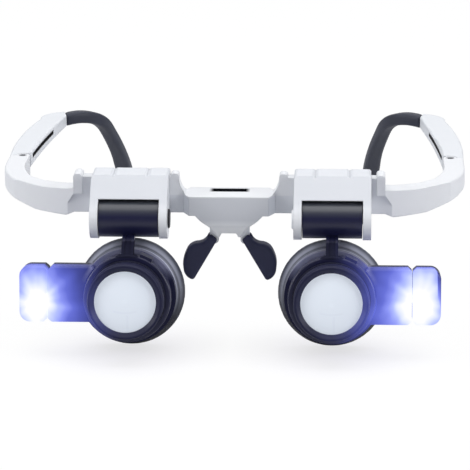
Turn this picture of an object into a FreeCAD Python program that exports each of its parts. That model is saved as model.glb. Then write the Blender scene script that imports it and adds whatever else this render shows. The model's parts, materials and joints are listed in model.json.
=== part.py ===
import FreeCAD, Part
import Sketcher
import math
import os

# Head-worn magnifier: a white spectacle frame with two flip-up loupes on sliding clamps,
# each with a battery lamp on its outer side. +X is the picture's right, +Y points from the
# lenses to the wearer, +Z is up. The origin is on the table, under the middle of the
# object's box. Right-hand pieces are modelled and the left-hand ones are mirrored from them.

SIZES = {
    # white front frame: bridge, rails and outer bars
    "bridge_half_width": 13.1,
    "bridge_depth": 12.4,
    "bridge_drop": 12.5,
    "bridge_slot_length": 11.0,
    "bridge_slot_width": 3.2,
    "bridge_slot_setback": 9.0,
    "nose_arch_half_width": 2.4,
    "nose_arch_rise": 1.4,
    "rail_setback": 4.0,
    "rail_thickness": 4.5,
    "rail_rise": 5.6,
    "rail_drop": 6.4,
    "inner_stop_start": 16.5,
    "inner_stop_width": 2.8,
    "inner_stop_foot": 14.3,
    "inner_stop_sweep": 8.0,
    "rail_end": 48.4,
    "stop_width": 2.9,
    "stop_overhang": 1.3,
    "stop_round": 1.1,
    "bar_half_span": 79.0,
    "bar_reach": 52.8,
    "bar_shoulder_inset": 5.5,
    "bar_shoulder_y": 21.5,
    "bar_front_radius": 76.0,
    "bar_corner_radius": 41.0,
    "bar_width": 5.6,
    "bar_drop": 8.1,
    "bar_end_height": 5.2,
    "frame_edge_round": 0.7,
    # hinge between the frame and a temple
    "hinge_inset": 4.6,
    "knuckle_radius": 2.2,
    "tongue_height": 1.8,
    "hinge_gap": 0.15,
    "knuckle_gap": 0.25,
    "hinge_screw_radius": 0.7,
    "screw_head_radius": 1.4,
    "screw_head_height": 0.7,
    "screw_head_recess": 0.3,
    "hinge_floor": 0.8,
    "running_gap": 0.06,
    # temple arm and its rubber tip
    "arm_length": 63.6,
    "arm_end_height": 4.5,
    "arm_end_width": 5.2,
    "strap_slot_start": 6.0,
    "strap_slot_length": 34.0,
    "strap_slot_drop": 1.0,
    "strap_slot_height": 1.6,
    "strap_sleeve_wall": 0.4,
    "arm_edge_round": 0.8,
    "tang_length": 5.0,
    "tang_lean": 27.0,
    "tang_width": 2.4,
    "tang_height": 1.8,
    "tip_run": 52.6,
    "tip_heel": 12.0,
    "arm_end_lean": 16.0,
    "tip_inset": 19.5,
    "tip_width": 5.1,
    "tip_thickness": 4.5,
    "tip_end_radius": 1.9,
    # clamp that slides on a rail
    "clamp_width": 25.3,
    "clamp_top_wall": 1.5,
    "clamp_front_wall": 1.3,
    "clamp_back_wall": 1.7,
    "clamp_brow": 3.6,
    "clamp_lip": 1.2,
    "clamp_lip_height": 1.5,
    "slide_gap": 0.25,
    "clamp_at_rest": 33.2,
    "clamp_rest_shift": 0.85,
    "clamp_edge_round": 1.2,
    "ear_thickness": 2.7,
    "ear_radius": 6.6,
    "window_roof_gap": 0.9,
    "grip_notch_width": 1.8,
    "grip_notch_depth": 0.6,
    "spring_thickness": 0.3,
    "spring_length": 16.0,
    "spring_height": 5.0,
    "spring_seat_depth": 0.4,
    # flip joint
    "flip_axis_ahead": 4.0,
    "flip_axis_drop": 6.2,
    "roller_radius": 6.1,
    "roller_end_gap": 0.2,
    "flip_pin_radius": 1.5,
    "pin_cap_radius": 3.2,
    "pin_cap_height": 0.6,
    "neck_width": 4.0,
    "neck_rib": 0.5,
    # loupe, measured from the lens plane along the barrel
    "barrel_tilt": 9.2,
    "flip_setback": 17.8,
    "flip_rise": 25.1,
    "barrel_radius": 12.6,
    "barrel_wall": 1.2,
    "barrel_setback": 3.6,
    "lens_radius": 10.6,
    "lens_edge": 2.0,
    "lens_bulge": 1.5,
    "cell_radius": 12.4,
    "cell_length": 4.8,
    "bezel_radius": 11.3,
    "bezel_height": 1.1,
    "lens_lip": 0.6,
    "cell_thread_length": 3.8,
    "lens_ring_height": 1.4,
    "eye_lens_height": 2.6,
    "holder_start": 7.2,
    "holder_width": 6.2,
    "holder_wall": 1.6,
    "holder_lug_width": 4.2,
    "holder_lug_rise": 0.9,
    "holder_lug_angle": 25.0,
    "ring_gap": 0.3,
    "seat_gap": 0.05,
    "collar_width": 3.8,
    "collar_wall": 2.9,
    "eyecup_depth": 26.0,
    "eyecup_rim_radius": 17.9,
    "eyecup_wall": 1.5,
    "eyecup_bead": 0.75,
    # lamp, measured from the barrel axis
    "lamp_front": 9.0,
    "lamp_depth": 10.5,
    "lamp_height": 18.4,
    "lamp_rise": 1.0,
    "lamp_split": 26.0,
    "lamp_reach": 35.4,
    "lamp_split_gap": 0.3,
    "lamp_notch": 1.3,
    "lamp_edge_round": 1.2,
    "lamp_corner_round": 3.4,
    "lamp_wall": 1.0,
    "tilt_spigot_radius": 2.4,
    "tilt_spigot_length": 1.4,
    "led_radius": 2.5,
    "led_out": 29.5,
    "led_drop": 3.0,
    "led_length": 6.0,
    "reflector_radius": 2.95,
    "reflector_depth": 2.2,
    "cell_can_radius": 3.95,
    "cell_can_height": 3.6,
    "cell_centre_out": 20.0,
    "cell_spring_height": 1.0,
    "cover_thickness": 1.1,
    "cover_margin": 1.0,
    "cover_gap": 0.2,
    "switch_slot_length": 6.6,
    "switch_slot_height": 2.4,
    "switch_slot_depth": 1.2,
    "switch_setback": 3.2,
    "switch_travel": 2.0,
    "switch_knob_length": 3.4,
    "swivel_up": 15.0,
    "swivel_clearance": 2.0,
    # nose pads
    "nose_pin_x": 5.1,
    "nose_pin_z": 16.2,
    "nose_pin_radius": 0.6,
    "nose_lug_radius": 1.5,
    "nose_lug_setback": 7.0,
    "nose_lug_thickness": 1.8,
    "nose_pad_thickness": 4.2,
    "nose_pad_skin": 0.7,
    "nose_pad_length": 15.0,
    "nose_pad_reach": 11.4,
    "nose_pad_flange_depth": 8.0,
    "nose_pad_round": 0.8,
}

# every through cut runs on to this share of the size that it has to pass
overrun_share = 2.0
# how near two numbers must be to count as the same place when edges are picked
TOUCH = 1e-3
CELL_COUNT = 3
DEGREES = 180 / math.pi


class Size:
    """A size as a number together with the spreadsheet formula that gives it."""

    def __init__(self, number, formula):
        self.number = number
        self.formula = formula

    def __add__(self, other):
        other = as_size(other)
        return Size(self.number + other.number, f"({self.formula} + {other.formula})")

    def __sub__(self, other):
        other = as_size(other)
        return Size(self.number - other.number, f"({self.formula} - {other.formula})")

    def __mul__(self, other):
        other = as_size(other)
        return Size(self.number * other.number, f"({self.formula} * {other.formula})")

    def __truediv__(self, other):
        other = as_size(other)
        return Size(self.number / other.number, f"({self.formula} / {other.formula})")

    def __neg__(self):
        return Size(-self.number, f"(-1 * {self.formula})")

    __radd__ = __add__
    __rmul__ = __mul__

    def __rsub__(self, other):
        return as_size(other) - self

    def __float__(self):
        return float(self.number)


def as_size(value):
    if isinstance(value, Size):
        return value
    return Size(float(value), f"({float(value)!r})")


def sine(angle):
    return Size(math.sin(math.radians(angle.number)), f"sin({angle.formula})")


def cosine(angle):
    return Size(math.cos(math.radians(angle.number)), f"cos({angle.formula})")


def root(value):
    return Size(math.sqrt(value.number), f"sqrt({value.formula})")


def leg(hypotenuse, other_leg):
    """The other short side of a right triangle."""
    return root(hypotenuse * hypotenuse - other_leg * other_leg)


# document and spreadsheet

document = FreeCAD.newDocument("headband_magnifier")
sheet = document.addObject("Spreadsheet::Sheet", "Sizes")
for row, (alias, number) in enumerate(SIZES.items(), start=1):
    sheet.set(f"A{row}", alias)
    sheet.set(f"B{row}", str(number))
    sheet.setAlias(f"B{row}", alias)
document.recompute()


def size(alias):
    """One driving size from the sheet."""
    return Size(float(sheet.get(alias)), f"Sizes.{alias}")


# helpers that build bound sketches and features


def bind(thing, setting, value):
    value = as_size(value)
    setattr(thing, setting, value.number)
    thing.setExpression(setting, value.formula)


def origin_plane(body, role):
    return next(item for item in body.Origin.OriginFeatures if item.Role == role)


def new_sketch(body, role, offset=0):
    """A sketch on one of the body's own planes, moved along that plane's normal."""
    sketch = body.newObject("Sketcher::SketchObject", f"{body.Name}_sketch")
    sketch.AttachmentSupport = (origin_plane(body, role), [""])
    sketch.MapMode = "FlatFace"
    if isinstance(offset, Size):
        sketch.setExpression(".AttachmentOffset.Base.z", offset.formula)
    return sketch


def pin_point(sketch, geometry, point, x, y):
    """Fix one point of a sketch at bound coordinates."""
    for kind, value, axis in (("DistanceX", x, -2), ("DistanceY", y, -1)):
        if not isinstance(value, Size):
            sketch.addConstraint(Sketcher.Constraint("PointOnObject", geometry, point, axis))
            continue
        constraint = Sketcher.Constraint(kind, -1, 1, geometry, point, value.number)
        index = sketch.addConstraint(constraint)
        sketch.setExpression(f"Constraints[{index}]", value.formula)


def arc_between(start, end, radius):
    """Short arc; it turns left on its way where the radius is positive, right where negative."""
    (x0, y0), (x1, y1) = start, end
    half = math.hypot(x1 - x0, y1 - y0) / 2
    rise = math.sqrt(max(radius * radius - half * half, 0))
    side = 1 if radius > 0 else -1
    centre_x = (x0 + x1) / 2 - side * rise * (y1 - y0) / (2 * half)
    centre_y = (y0 + y1) / 2 + side * rise * (x1 - x0) / (2 * half)
    first, last = (start, end) if radius > 0 else (end, start)
    begin = math.atan2(first[1] - centre_y, first[0] - centre_x)
    finish = math.atan2(last[1] - centre_y, last[0] - centre_x)
    circle = Part.Circle(FreeCAD.Vector(centre_x, centre_y), FreeCAD.Vector(0, 0, 1), abs(radius))
    return Part.ArcOfCircle(circle, begin, finish)


def outline(sketch, corners):
    """Closed outline; a corner with a third value is reached by an arc of that radius."""
    count = len(corners)
    places = [(float(corner[0]), float(corner[1])) for corner in corners]
    shapes = []
    for index in range(count):
        following = corners[(index + 1) % count]
        start, end = places[index], places[(index + 1) % count]
        if len(following) > 2:
            shapes.append(arc_between(start, end, float(following[2])))
        else:
            shapes.append(Part.LineSegment(FreeCAD.Vector(*start), FreeCAD.Vector(*end)))
    first = len(sketch.Geometry)
    sketch.addGeometry(shapes)
    for index in range(count):
        following = corners[(index + 1) % count]
        after = corners[(index + 2) % count]
        backwards = len(following) > 2 and float(following[2]) < 0
        after_backwards = len(after) > 2 and float(after[2]) < 0
        end_point = 1 if backwards else 2
        next_start = 2 if after_backwards else 1
        here, there = first + index, first + (index + 1) % count
        sketch.addConstraint(Sketcher.Constraint("Coincident", here, end_point, there, next_start))
        if len(following) > 2:
            radius = following[2]
            if float(radius) < 0:
                radius = -radius
            constraint = Sketcher.Constraint("Radius", here, radius.number)
            index_of_radius = sketch.addConstraint(constraint)
            sketch.setExpression(f"Constraints[{index_of_radius}]", radius.formula)
        start_point = 2 if backwards else 1
        pin_point(sketch, here, start_point, corners[index][0], corners[index][1])


def ring_outline(sketch, x, y, radius):
    circle = Part.Circle(FreeCAD.Vector(float(x), float(y)), FreeCAD.Vector(0, 0, 1), float(radius))
    geometry = sketch.addGeometry(circle)
    index = sketch.addConstraint(Sketcher.Constraint("Radius", geometry, float(radius)))
    sketch.setExpression(f"Constraints[{index}]", radius.formula)
    pin_point(sketch, geometry, 3, x, y)


def box_corners(x0, x1, y0, y1):
    return [(x0, y0), (x1, y0), (x1, y1), (x0, y1)]


def swept(body, kind, sketch, length, both_ways=True, backwards=False):
    """A pad or pocket of a bound length, to both sides of its sketch or to one."""
    feature = body.newObject(f"PartDesign::{kind}", f"{body.Name}_{kind.lower()}")
    feature.Profile = sketch
    feature.SideType = "Symmetric" if both_ways else "One side"
    feature.Reversed = backwards
    bind(feature, "Length", length)
    return feature


def turned(body, kind, sketch):
    """A revolution or groove about the sketch's own vertical axis."""
    feature = body.newObject(f"PartDesign::{kind}", f"{body.Name}_{kind.lower()}")
    feature.Profile = sketch
    feature.ReferenceAxis = (sketch, ["V_Axis"])
    feature.Angle = 360
    return feature


def pad_outline(body, role, corners, length, offset=0, **direction):
    sketch = new_sketch(body, role, offset)
    outline(sketch, corners)
    return swept(body, "Pad", sketch, length, **direction)


def cut_outline(body, role, corners, length, offset=0, **direction):
    sketch = new_sketch(body, role, offset)
    outline(sketch, corners)
    return swept(body, "Pocket", sketch, length, **direction)


def pad_round(body, role, x, y, radius, length, offset=0, **direction):
    sketch = new_sketch(body, role, offset)
    ring_outline(sketch, x, y, radius)
    return swept(body, "Pad", sketch, length, **direction)


def cut_round(body, role, x, y, radius, length, offset=0, **direction):
    sketch = new_sketch(body, role, offset)
    ring_outline(sketch, x, y, radius)
    return swept(body, "Pocket", sketch, length, **direction)


def turn_outline(body, corners, kind="Revolution"):
    """Turn an outline of radius and depth about the body's Y axis."""
    sketch = new_sketch(body, "XY_Plane")
    outline(sketch, corners)
    return turned(body, kind, sketch)


def soften(body, wanted, radius, kind="Fillet"):
    """Round or bevel the edges of the finished shape that a test picks."""
    document.recompute()
    base = body.Tip
    names = []
    for number, edge in enumerate(base.Shape.Edges, start=1):
        if wanted(edge):
            names.append(f"Edge{number}")
    feature = body.newObject(f"PartDesign::{kind}", f"{body.Name}_{kind.lower()}")
    feature.Base = (base, names)
    bind(feature, "Radius" if kind == "Fillet" else "Size", radius)
    return feature


def lies_flat(edge, height, reach=TOUCH):
    """True where the whole edge lies in one horizontal plane of the body."""
    box = edge.BoundBox
    return abs(box.ZMin - height) < reach and abs(box.ZMax - height) < reach


def place(body, x, y, z, tilt=None):
    """Bound placement; the tilt turns the body about the X axis."""
    angle = tilt.number if tilt else 0
    spot = FreeCAD.Vector(float(x), float(y), float(z))
    body.Placement = FreeCAD.Placement(spot, FreeCAD.Rotation(FreeCAD.Vector(1, 0, 0), angle))
    for axis, value in (("x", x), ("y", y), ("z", z)):
        body.setExpression(f".Placement.Base.{axis}", as_size(value).formula)
    if tilt:
        body.setExpression(".Placement.Rotation.Angle", tilt.formula)


def new_body(name):
    body = document.addObject("PartDesign::Body", name)
    body.Label = name
    return body


pieces = []


def keep(piece):
    pieces.append(piece)
    return piece


def keep_with_mirror(body, middle=None):
    """Keep a right-hand piece and make its left-hand twin across an upright plane."""
    keep(body)
    twin = document.addObject("Part::Mirroring", body.Label.replace("_right", "_left"))
    twin.Label = body.Label.replace("_right", "_left")
    twin.Source = body
    twin.Normal = FreeCAD.Vector(1, 0, 0)
    twin.Base = FreeCAD.Vector(0, 0, 0)
    if middle is not None:
        twin.setExpression(".Base.x", middle.formula)
    keep(twin)


# sizes that several pieces share

tilt = size("barrel_tilt")
frame_half = size("bar_half_span")
rail_front = size("rail_setback")
rail_back = rail_front + size("rail_thickness")
through = size("bar_reach") * overrun_share

# flip axis and lens centre, from the top front edge of the bridge
flip_y = -size("flip_axis_ahead")
flip_z = -size("flip_axis_drop")
lens_y = flip_y - (size("flip_setback") * cosine(tilt) + size("flip_rise") * sine(tilt))
lens_z = flip_z + (size("flip_setback") * sine(tilt) - size("flip_rise") * cosine(tilt))

# the eyecups' lowest points touch the table
bead_s = size("eyecup_depth") - size("eyecup_bead")
bead_r = size("eyecup_rim_radius") - size("eyecup_bead")
eyecup_foot = lens_z - bead_s * sine(tilt) - bead_r * cosine(tilt) - size("eyecup_bead")
frame_top = -eyecup_foot

# the middle of the box lies over the origin
front_reach = -lens_y + size("cell_radius") * sine(tilt) + size("bezel_height") * cosine(tilt)
back_reach = size("bar_reach") + size("arm_length") + size("tip_run")
frame_y = (front_reach - back_reach) / 2

# both clamps stand a little to the picture's right of the middle, as in the photograph
rest_shift = size("clamp_rest_shift")
rest_x = size("clamp_at_rest") + rest_shift
lens_at = (rest_x, frame_y + lens_y, frame_top + lens_z)


def in_frame(body):
    place(body, 0, frame_y, frame_top)


def in_loupe(body):
    place(body, *lens_at, tilt=-tilt)


# white front frame

hinge_x = frame_half - size("hinge_inset")
hinge_y = size("bar_reach")
bar_end_z = -size("bar_end_height")
screw_length = size("bar_end_height") - size("hinge_floor")


def frame_plan():
    """Right half of the frame seen from above: bridge, rail, end stop and swept outer bar."""
    half = size("bridge_half_width")
    end = size("rail_end")
    stop_end = end + size("stop_width")
    stop_front = rail_front - size("stop_overhang")
    stop_back = rail_back + size("stop_overhang")
    shoulder_x, shoulder_y = frame_half - size("bar_shoulder_inset"), size("bar_shoulder_y")
    width = size("bar_width")
    corner_y_share = 0.815
    inner_share = 0.5
    rail_start = half + rail_front * inner_share
    inner_x = frame_half - size("hinge_inset") - size("knuckle_radius") - size("knuckle_gap")
    return [
        (0, 0),
        (half, 0),
        (rail_start, rail_front),
        (end, rail_front),
        (end, stop_front),
        (stop_end, stop_front),
        (shoulder_x, shoulder_y, size("bar_front_radius")),
        (frame_half, hinge_y * corner_y_share, size("bar_corner_radius")),
        (frame_half, hinge_y),
        (inner_x, hinge_y),
        (inner_x, hinge_y * corner_y_share),
        (shoulder_x - width, shoulder_y + width * inner_share, -size("bar_corner_radius")),
        (stop_end, stop_back, -size("bar_front_radius")),
        (end, stop_back),
        (end, rail_back),
        (rail_start, rail_back),
        (half, size("bridge_depth")),
        (0, size("bridge_depth")),
    ]


def frame_elevation():
    """Right half of the frame seen from the front, between its top and bottom edges."""
    half = size("bridge_half_width")
    drop = size("bridge_drop")
    arch = size("nose_arch_half_width")
    rail_drop = size("rail_drop")
    end = size("rail_end")
    stop_end = end + size("stop_width")
    bar_drop = size("bar_drop")
    waist_share = 0.35
    flank_shares = (0.565, 0.77)
    flank_round_share = 0.6
    bar_top_shares = (0.36, 0.25, 0.06)
    bar_low_shares = (0.94, 1.0, 0.78)
    run_share = 0.5
    shoulder_x = frame_half - size("bar_shoulder_inset")
    mid_x = stop_end + (shoulder_x - stop_end) * run_share
    rise = size("rail_rise")
    stop_top = rise + size("clamp_top_wall") - size("slide_gap")
    stop_round = size("stop_round")
    inner_start = size("inner_stop_start")
    inner_end = inner_start + size("inner_stop_width")
    return [
        (0, 0),
        (0, -drop),
        (arch, -drop),
        (arch + size("nose_arch_rise") / 2, -drop - size("nose_arch_rise")),
        (half * waist_share - size("nose_arch_rise") / 2, -drop - size("nose_arch_rise")),
        (half * waist_share, -drop),
        (half * flank_shares[0], -drop * flank_shares[1], -half * flank_round_share),
        (half - rail_front * run_share, -rail_drop, half),
        (stop_end, -rail_drop),
        (stop_end + size("stop_width"), -bar_drop * bar_low_shares[0]),
        (mid_x + size("stop_width"), -bar_drop * bar_low_shares[1]),
        (frame_half - size("stop_width"), -bar_drop * bar_low_shares[2]),
        (frame_half + size("stop_width"), bar_end_z),
        (frame_half + size("stop_width"), 0),
        (shoulder_x, 0),
        (mid_x, rise * bar_top_shares[2]),
        (stop_end + size("stop_width"), rise * bar_top_shares[1]),
        (stop_end, rise * bar_top_shares[0]),
        (stop_end, stop_top - stop_round),
        (stop_end - stop_round, stop_top, stop_round),
        (end + stop_round, stop_top),
        (end, stop_top - stop_round, stop_round),
        (end, rise),
        (inner_end, rise),
        (inner_end, stop_top - stop_round),
        (inner_end - stop_round, stop_top, stop_round),
        (inner_start + stop_round, stop_top),
        (inner_start, stop_top - stop_round, stop_round),
        (size("inner_stop_foot"), 0, -size("inner_stop_sweep")),
    ]


def build_front_frame():
    body = new_body("front_frame")
    pad_outline(body, "XY_Plane", frame_plan(), size("bar_drop") * overrun_share * 2)
    # the front view trims the tall pad: everything outside its outline is cut away
    sketch = new_sketch(body, "XZ_Plane")
    outline(sketch, frame_elevation())
    margin = size("bridge_drop")
    low, high = -(size("bridge_drop") + margin), size("bridge_drop") + margin
    far = frame_half + margin
    outline(sketch, box_corners(-margin, far, low, high))
    swept(body, "Pocket", sketch, through * 2)
    # sloped recess where the bar starts, below the end stop
    end = size("rail_end")
    stop_end = end + size("stop_width")
    slope_share = 0.62
    low_z = -size("bar_drop") * overrun_share
    recess_x = stop_end + size("rail_drop") * slope_share
    recess = [(end, 0), (stop_end, 0), (recess_x, -size("rail_drop")), (recess_x, low_z), (end, low_z)]
    cut_outline(body, "XZ_Plane", recess, rail_front * 2)
    # bevelled lower lip of the bridge
    lip_shares = (0.78, 0.3)
    drop = size("bridge_drop")
    lip = [
        (0, -drop * lip_shares[0]),
        (drop * lip_shares[1], -drop * overrun_share),
        (-drop, -drop * overrun_share),
        (-drop, -drop * lip_shares[0]),
    ]
    cut_outline(body, "YZ_Plane", lip, frame_half * 2)
    # slot in the top of the bridge
    half_slot = size("bridge_slot_width") / 2
    back = size("bridge_slot_setback")
    half_length = size("bridge_slot_length") / 2
    slot = box_corners(-half_length, half_length, back - half_slot, back + half_slot)
    cut_outline(body, "XY_Plane", slot, through)
    soften_bar_edges(body)
    # lug that carries a nose pad
    lug_y = size("nose_lug_setback")
    pin_x, pin_z, lug_radius = size("nose_pin_x"), -size("nose_pin_z"), size("nose_lug_radius")
    lug = box_corners(pin_x - lug_radius, pin_x + lug_radius, pin_z, -drop * lip_shares[0])
    pad_outline(body, "XZ_Plane", lug, size("nose_lug_thickness"), offset=-lug_y)
    pad_round(body, "XZ_Plane", pin_x, pin_z, lug_radius, size("nose_lug_thickness"), offset=-lug_y)
    pin_hole = size("nose_pin_radius") + size("running_gap")
    cut_round(body, "XZ_Plane", pin_x, pin_z, pin_hole, size("bridge_depth"), offset=-lug_y)
    # hinge fork: round knuckle, slot for the temple's tongue, screw hole from above
    knuckle = size("knuckle_radius")
    pad_round(body, "XY_Plane", hinge_x, hinge_y, knuckle, -bar_end_z, both_ways=False, backwards=True)
    slot_height = size("tongue_height") + size("hinge_gap") * 2
    cut_round(body, "XY_Plane", hinge_x, hinge_y, knuckle + size("knuckle_gap"), slot_height,
              offset=bar_end_z / 2)
    screw_hole = size("hinge_screw_radius") + size("running_gap")
    cut_round(body, "XY_Plane", hinge_x, hinge_y, screw_hole, screw_length + size("running_gap"),
              both_ways=False)
    head_hole = size("screw_head_radius") + size("running_gap")
    head_room = size("screw_head_recess") + size("screw_head_height")
    cut_round(body, "XY_Plane", hinge_x, hinge_y, head_hole, head_room, both_ways=False)
    mirrored = body.newObject("PartDesign::Mirrored", "front_frame_mirrored")
    mirrored.TransformMode = "Whole shape"
    mirrored.MirrorPlane = (origin_plane(body, "YZ_Plane"), [""])
    body.Tip = mirrored
    in_frame(body)
    keep(body)


def soften_bar_edges(body):
    """Round the long top edges of the outer bar and of the bridge."""
    middle = float(size("rail_end"))

    def wanted(edge):
        box = edge.BoundBox
        long_enough = edge.Length > float(size("bar_width"))
        return long_enough and box.XMin > middle and lies_flat(edge, 0)

    soften(body, wanted, size("frame_edge_round"))


# hinge screws


def build_hinge_screw():
    body = new_body("hinge_screw_right")
    head = size("screw_head_radius")
    shaft = size("hinge_screw_radius")
    sketch = new_sketch(body, "XZ_Plane")
    head_top = -size("screw_head_recess")
    head_low = head_top - size("screw_head_height") + size("running_gap")
    outline(sketch, [
        (0, head_top),
        (0, -screw_length),
        (shaft, -screw_length),
        (shaft, head_low),
        (head, head_low),
        (head, head_top),
    ])
    turned(body, "Revolution", sketch)
    drive_shares = (0.28, 0.4)
    drive = box_corners(-head, head, -head * drive_shares[0] / 2, head * drive_shares[0] / 2)
    cut_outline(body, "XY_Plane", drive, size("screw_head_height") * drive_shares[1] * 2, offset=head_top)
    place(body, hinge_x, frame_y + hinge_y, frame_top)
    return body


def build_nose_pad_pin():
    body = new_body("nose_pad_pin_right")
    thick = size("nose_pad_thickness")
    length = thick - size("nose_pad_skin") - size("seat_gap")
    pad_round(body, "XZ_Plane", 0, 0, size("nose_pin_radius"), length, offset=-thick / 2,
              both_ways=False)
    place(body, size("nose_pin_x"), frame_y + size("nose_lug_setback"), frame_top - size("nose_pin_z"))
    return body


def keep_pair(name, body):
    """Keep a right-hand piece and its mirror twin together under one name."""
    twin = document.addObject("Part::Mirroring", f"{name}_twin")
    twin.Source = body
    twin.Base = FreeCAD.Vector(0, 0, 0)
    twin.Normal = FreeCAD.Vector(1, 0, 0)
    both = document.addObject("Part::Compound", name)
    both.Links = [body, twin]
    both.Label = name
    keep(both)


# temple arm

arm_end_y = hinge_y + size("arm_length")
arm_inner_x = hinge_x - size("knuckle_radius") - size("knuckle_gap")
arm_end_outer = (frame_half - size("tip_heel"), arm_end_y)
end_lean = size("arm_end_lean")
arm_end_inner = (
    arm_end_outer[0] - size("arm_end_width") * sine(end_lean),
    arm_end_outer[1] - size("arm_end_width") * cosine(end_lean),
)
arm_mid_z = -size("arm_end_height") / 2


def arm_plan():
    """The temple arm seen from above, from the hinge to its inward-turned end."""
    start = hinge_y + size("hinge_gap")
    inner_start = hinge_y + size("knuckle_radius") + size("knuckle_gap") + size("hinge_gap")
    heel = size("tip_heel")
    heel_shares = (0.37, 0.8)
    bow_share = 3.0
    bow = size("arm_length") * bow_share
    return [
        (hinge_x, start),
        (frame_half, start),
        (frame_half - heel * heel_shares[0], arm_end_y - heel * heel_shares[1], bow),
        (arm_end_outer[0], arm_end_outer[1], heel * heel_shares[1]),
        arm_end_inner,
        (arm_inner_x, inner_start, -bow * bow_share),
        (hinge_x, inner_start),
    ]


def build_temple_arm():
    body = new_body("temple_arm_right")
    tall = size("bar_end_height")
    pad_outline(body, "XY_Plane", arm_plan(), tall, both_ways=False, backwards=True)
    # the underside rises towards the end
    low = -tall * overrun_share
    beyond = arm_end_y + tall
    wedge = [(hinge_y, -tall), (beyond, -size("arm_end_height")), (beyond, low), (hinge_y, low)]
    cut_outline(body, "YZ_Plane", wedge, frame_half * 4)
    soften_arm_edges(body)
    # clearance for the frame's knuckle, then the tongue inside the fork
    relief = size("knuckle_radius") + size("knuckle_gap")
    cut_round(body, "XY_Plane", hinge_x, hinge_y, relief, through)
    mid = bar_end_z / 2
    tongue = size("tongue_height")
    knuckle = size("knuckle_radius")
    pad_round(body, "XY_Plane", hinge_x, hinge_y, knuckle, tongue, offset=mid)
    web = box_corners(hinge_x, hinge_x + knuckle, hinge_y, hinge_y + relief + size("tongue_height"))
    pad_outline(body, "XY_Plane", web, tongue, offset=mid)
    screw_hole = size("hinge_screw_radius") + size("running_gap")
    cut_round(body, "XY_Plane", hinge_x, hinge_y, screw_hole, through)
    # slot for an elastic strap, through the arm from its inner face
    slot_start = hinge_y + size("strap_slot_start")
    slot_top = -size("strap_slot_drop")
    slot_low = slot_top - size("strap_slot_height")
    slot = box_corners(slot_start, slot_start + size("strap_slot_length"), slot_low, slot_top)
    cut_outline(body, "YZ_Plane", slot, frame_half * 4)
    # flat tang that carries the rubber tip
    half = size("tang_width") / 2
    tang_lean = size("tang_lean")
    heading = (cosine(tang_lean), sine(tang_lean))
    across = (-sine(tang_lean), -cosine(tang_lean))
    root_share = 0.5
    base = (
        (arm_end_outer[0] + arm_end_inner[0]) / 2 + heading[0] * size("tang_width") * root_share,
        (arm_end_outer[1] + arm_end_inner[1]) / 2 - heading[1] * size("tang_width") * root_share,
    )
    reach = size("tang_length") + size("tang_width") * root_share
    tang = [
        (base[0] - across[0] * half, base[1] - across[1] * half),
        (base[0] - across[0] * half - heading[0] * reach, base[1] - across[1] * half + heading[1] * reach),
        (base[0] + across[0] * half - heading[0] * reach, base[1] + across[1] * half + heading[1] * reach),
        (base[0] + across[0] * half, base[1] + across[1] * half),
    ]
    pad_outline(body, "XY_Plane", tang, size("tang_height"), offset=arm_mid_z)
    in_frame(body)
    return body


def build_strap_sleeve():
    """Dark liner of the strap slot, cut to the arm's two sides."""
    body = new_body("strap_sleeve_right")
    gap, wall = size("seat_gap"), size("strap_sleeve_wall")
    near = hinge_y + size("strap_slot_start") + gap
    far = hinge_y + size("strap_slot_start") + size("strap_slot_length") - gap
    top = -size("strap_slot_drop") - gap
    low = -(size("strap_slot_drop") + size("strap_slot_height")) + gap
    pad_outline(body, "YZ_Plane", box_corners(near, far, low, top), frame_half * 4)
    sketch = new_sketch(body, "XY_Plane")
    outline(sketch, arm_plan())
    margin = frame_half * overrun_share
    outline(sketch, box_corners(-margin, margin, -margin, far + margin))
    swept(body, "Pocket", sketch, through)
    slit = box_corners(near + wall, far - wall, low + wall, top - wall)
    cut_outline(body, "YZ_Plane", slit, frame_half * 4)
    in_frame(body)
    return body


def soften_arm_edges(body):
    """Round the long edges of the arm."""

    def wanted(edge):
        return edge.Length > size("arm_length").number / 2

    soften(body, wanted, size("arm_edge_round"))


# rubber tip: a band that turns inwards and sweeps down to the table behind the head

# shares of inset, run, drop, half width and half thickness, from the arm's end to the tip's end
TIP_SHARES = (
    (0.0, 0.0, 0.0, 1.0, 1.0),
    (0.3, 0.065, -0.004, 1.0, 1.0),
    (0.6, 0.19, 0.064, 1.0, 1.0),
    (0.73, 0.32, 0.19, 1.02, 0.95),
    (0.85, 0.48, 0.38, 1.08, 0.95),
    (0.93, 0.7, 0.63, 1.26, 0.95),
    (0.97, 0.86, 0.82, 1.18, 0.93),
    (1.0, 1.0, 1.0, 0.76, 0.9),
)
TIP_STEPS = 12
TIP_CORNER_SHARE = 0.6
TIP_FOOT_SHARE = 1.03
TIP_CAP_TURNS = (32.0, 60.0, 80.0)


def tip_spine():
    """The tip's centre line and how wide and thick it is along it."""
    width = size("arm_end_width").number / 2
    start = FreeCAD.Vector(
        arm_end_outer[0].number - sine(end_lean).number * width,
        arm_end_outer[1].number - cosine(end_lean).number * width,
        arm_mid_z.number,
    )
    run = size("tip_run").number - size("tip_end_radius").number + cosine(end_lean).number * width
    drop = frame_top.number - size("tip_end_radius").number * TIP_FOOT_SHARE + arm_mid_z.number
    inset = size("tip_inset").number
    places = []
    for share in TIP_SHARES:
        offset = FreeCAD.Vector(-inset * share[0], run * share[1], -drop * share[2])
        places.append(start + offset)
    curve = Part.BSplineCurve()
    curve.interpolate(places)
    return curve, places


def share_between(along, known, column):
    """Linear reading of one column of the tip's shares at a place along the centre line."""
    for index in range(len(known) - 1):
        if along <= known[index + 1]:
            span = known[index + 1] - known[index]
            part = (along - known[index]) / span
            first, last = TIP_SHARES[index][column], TIP_SHARES[index + 1][column]
            return first + (last - first) * part
    return TIP_SHARES[-1][column]


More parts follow.
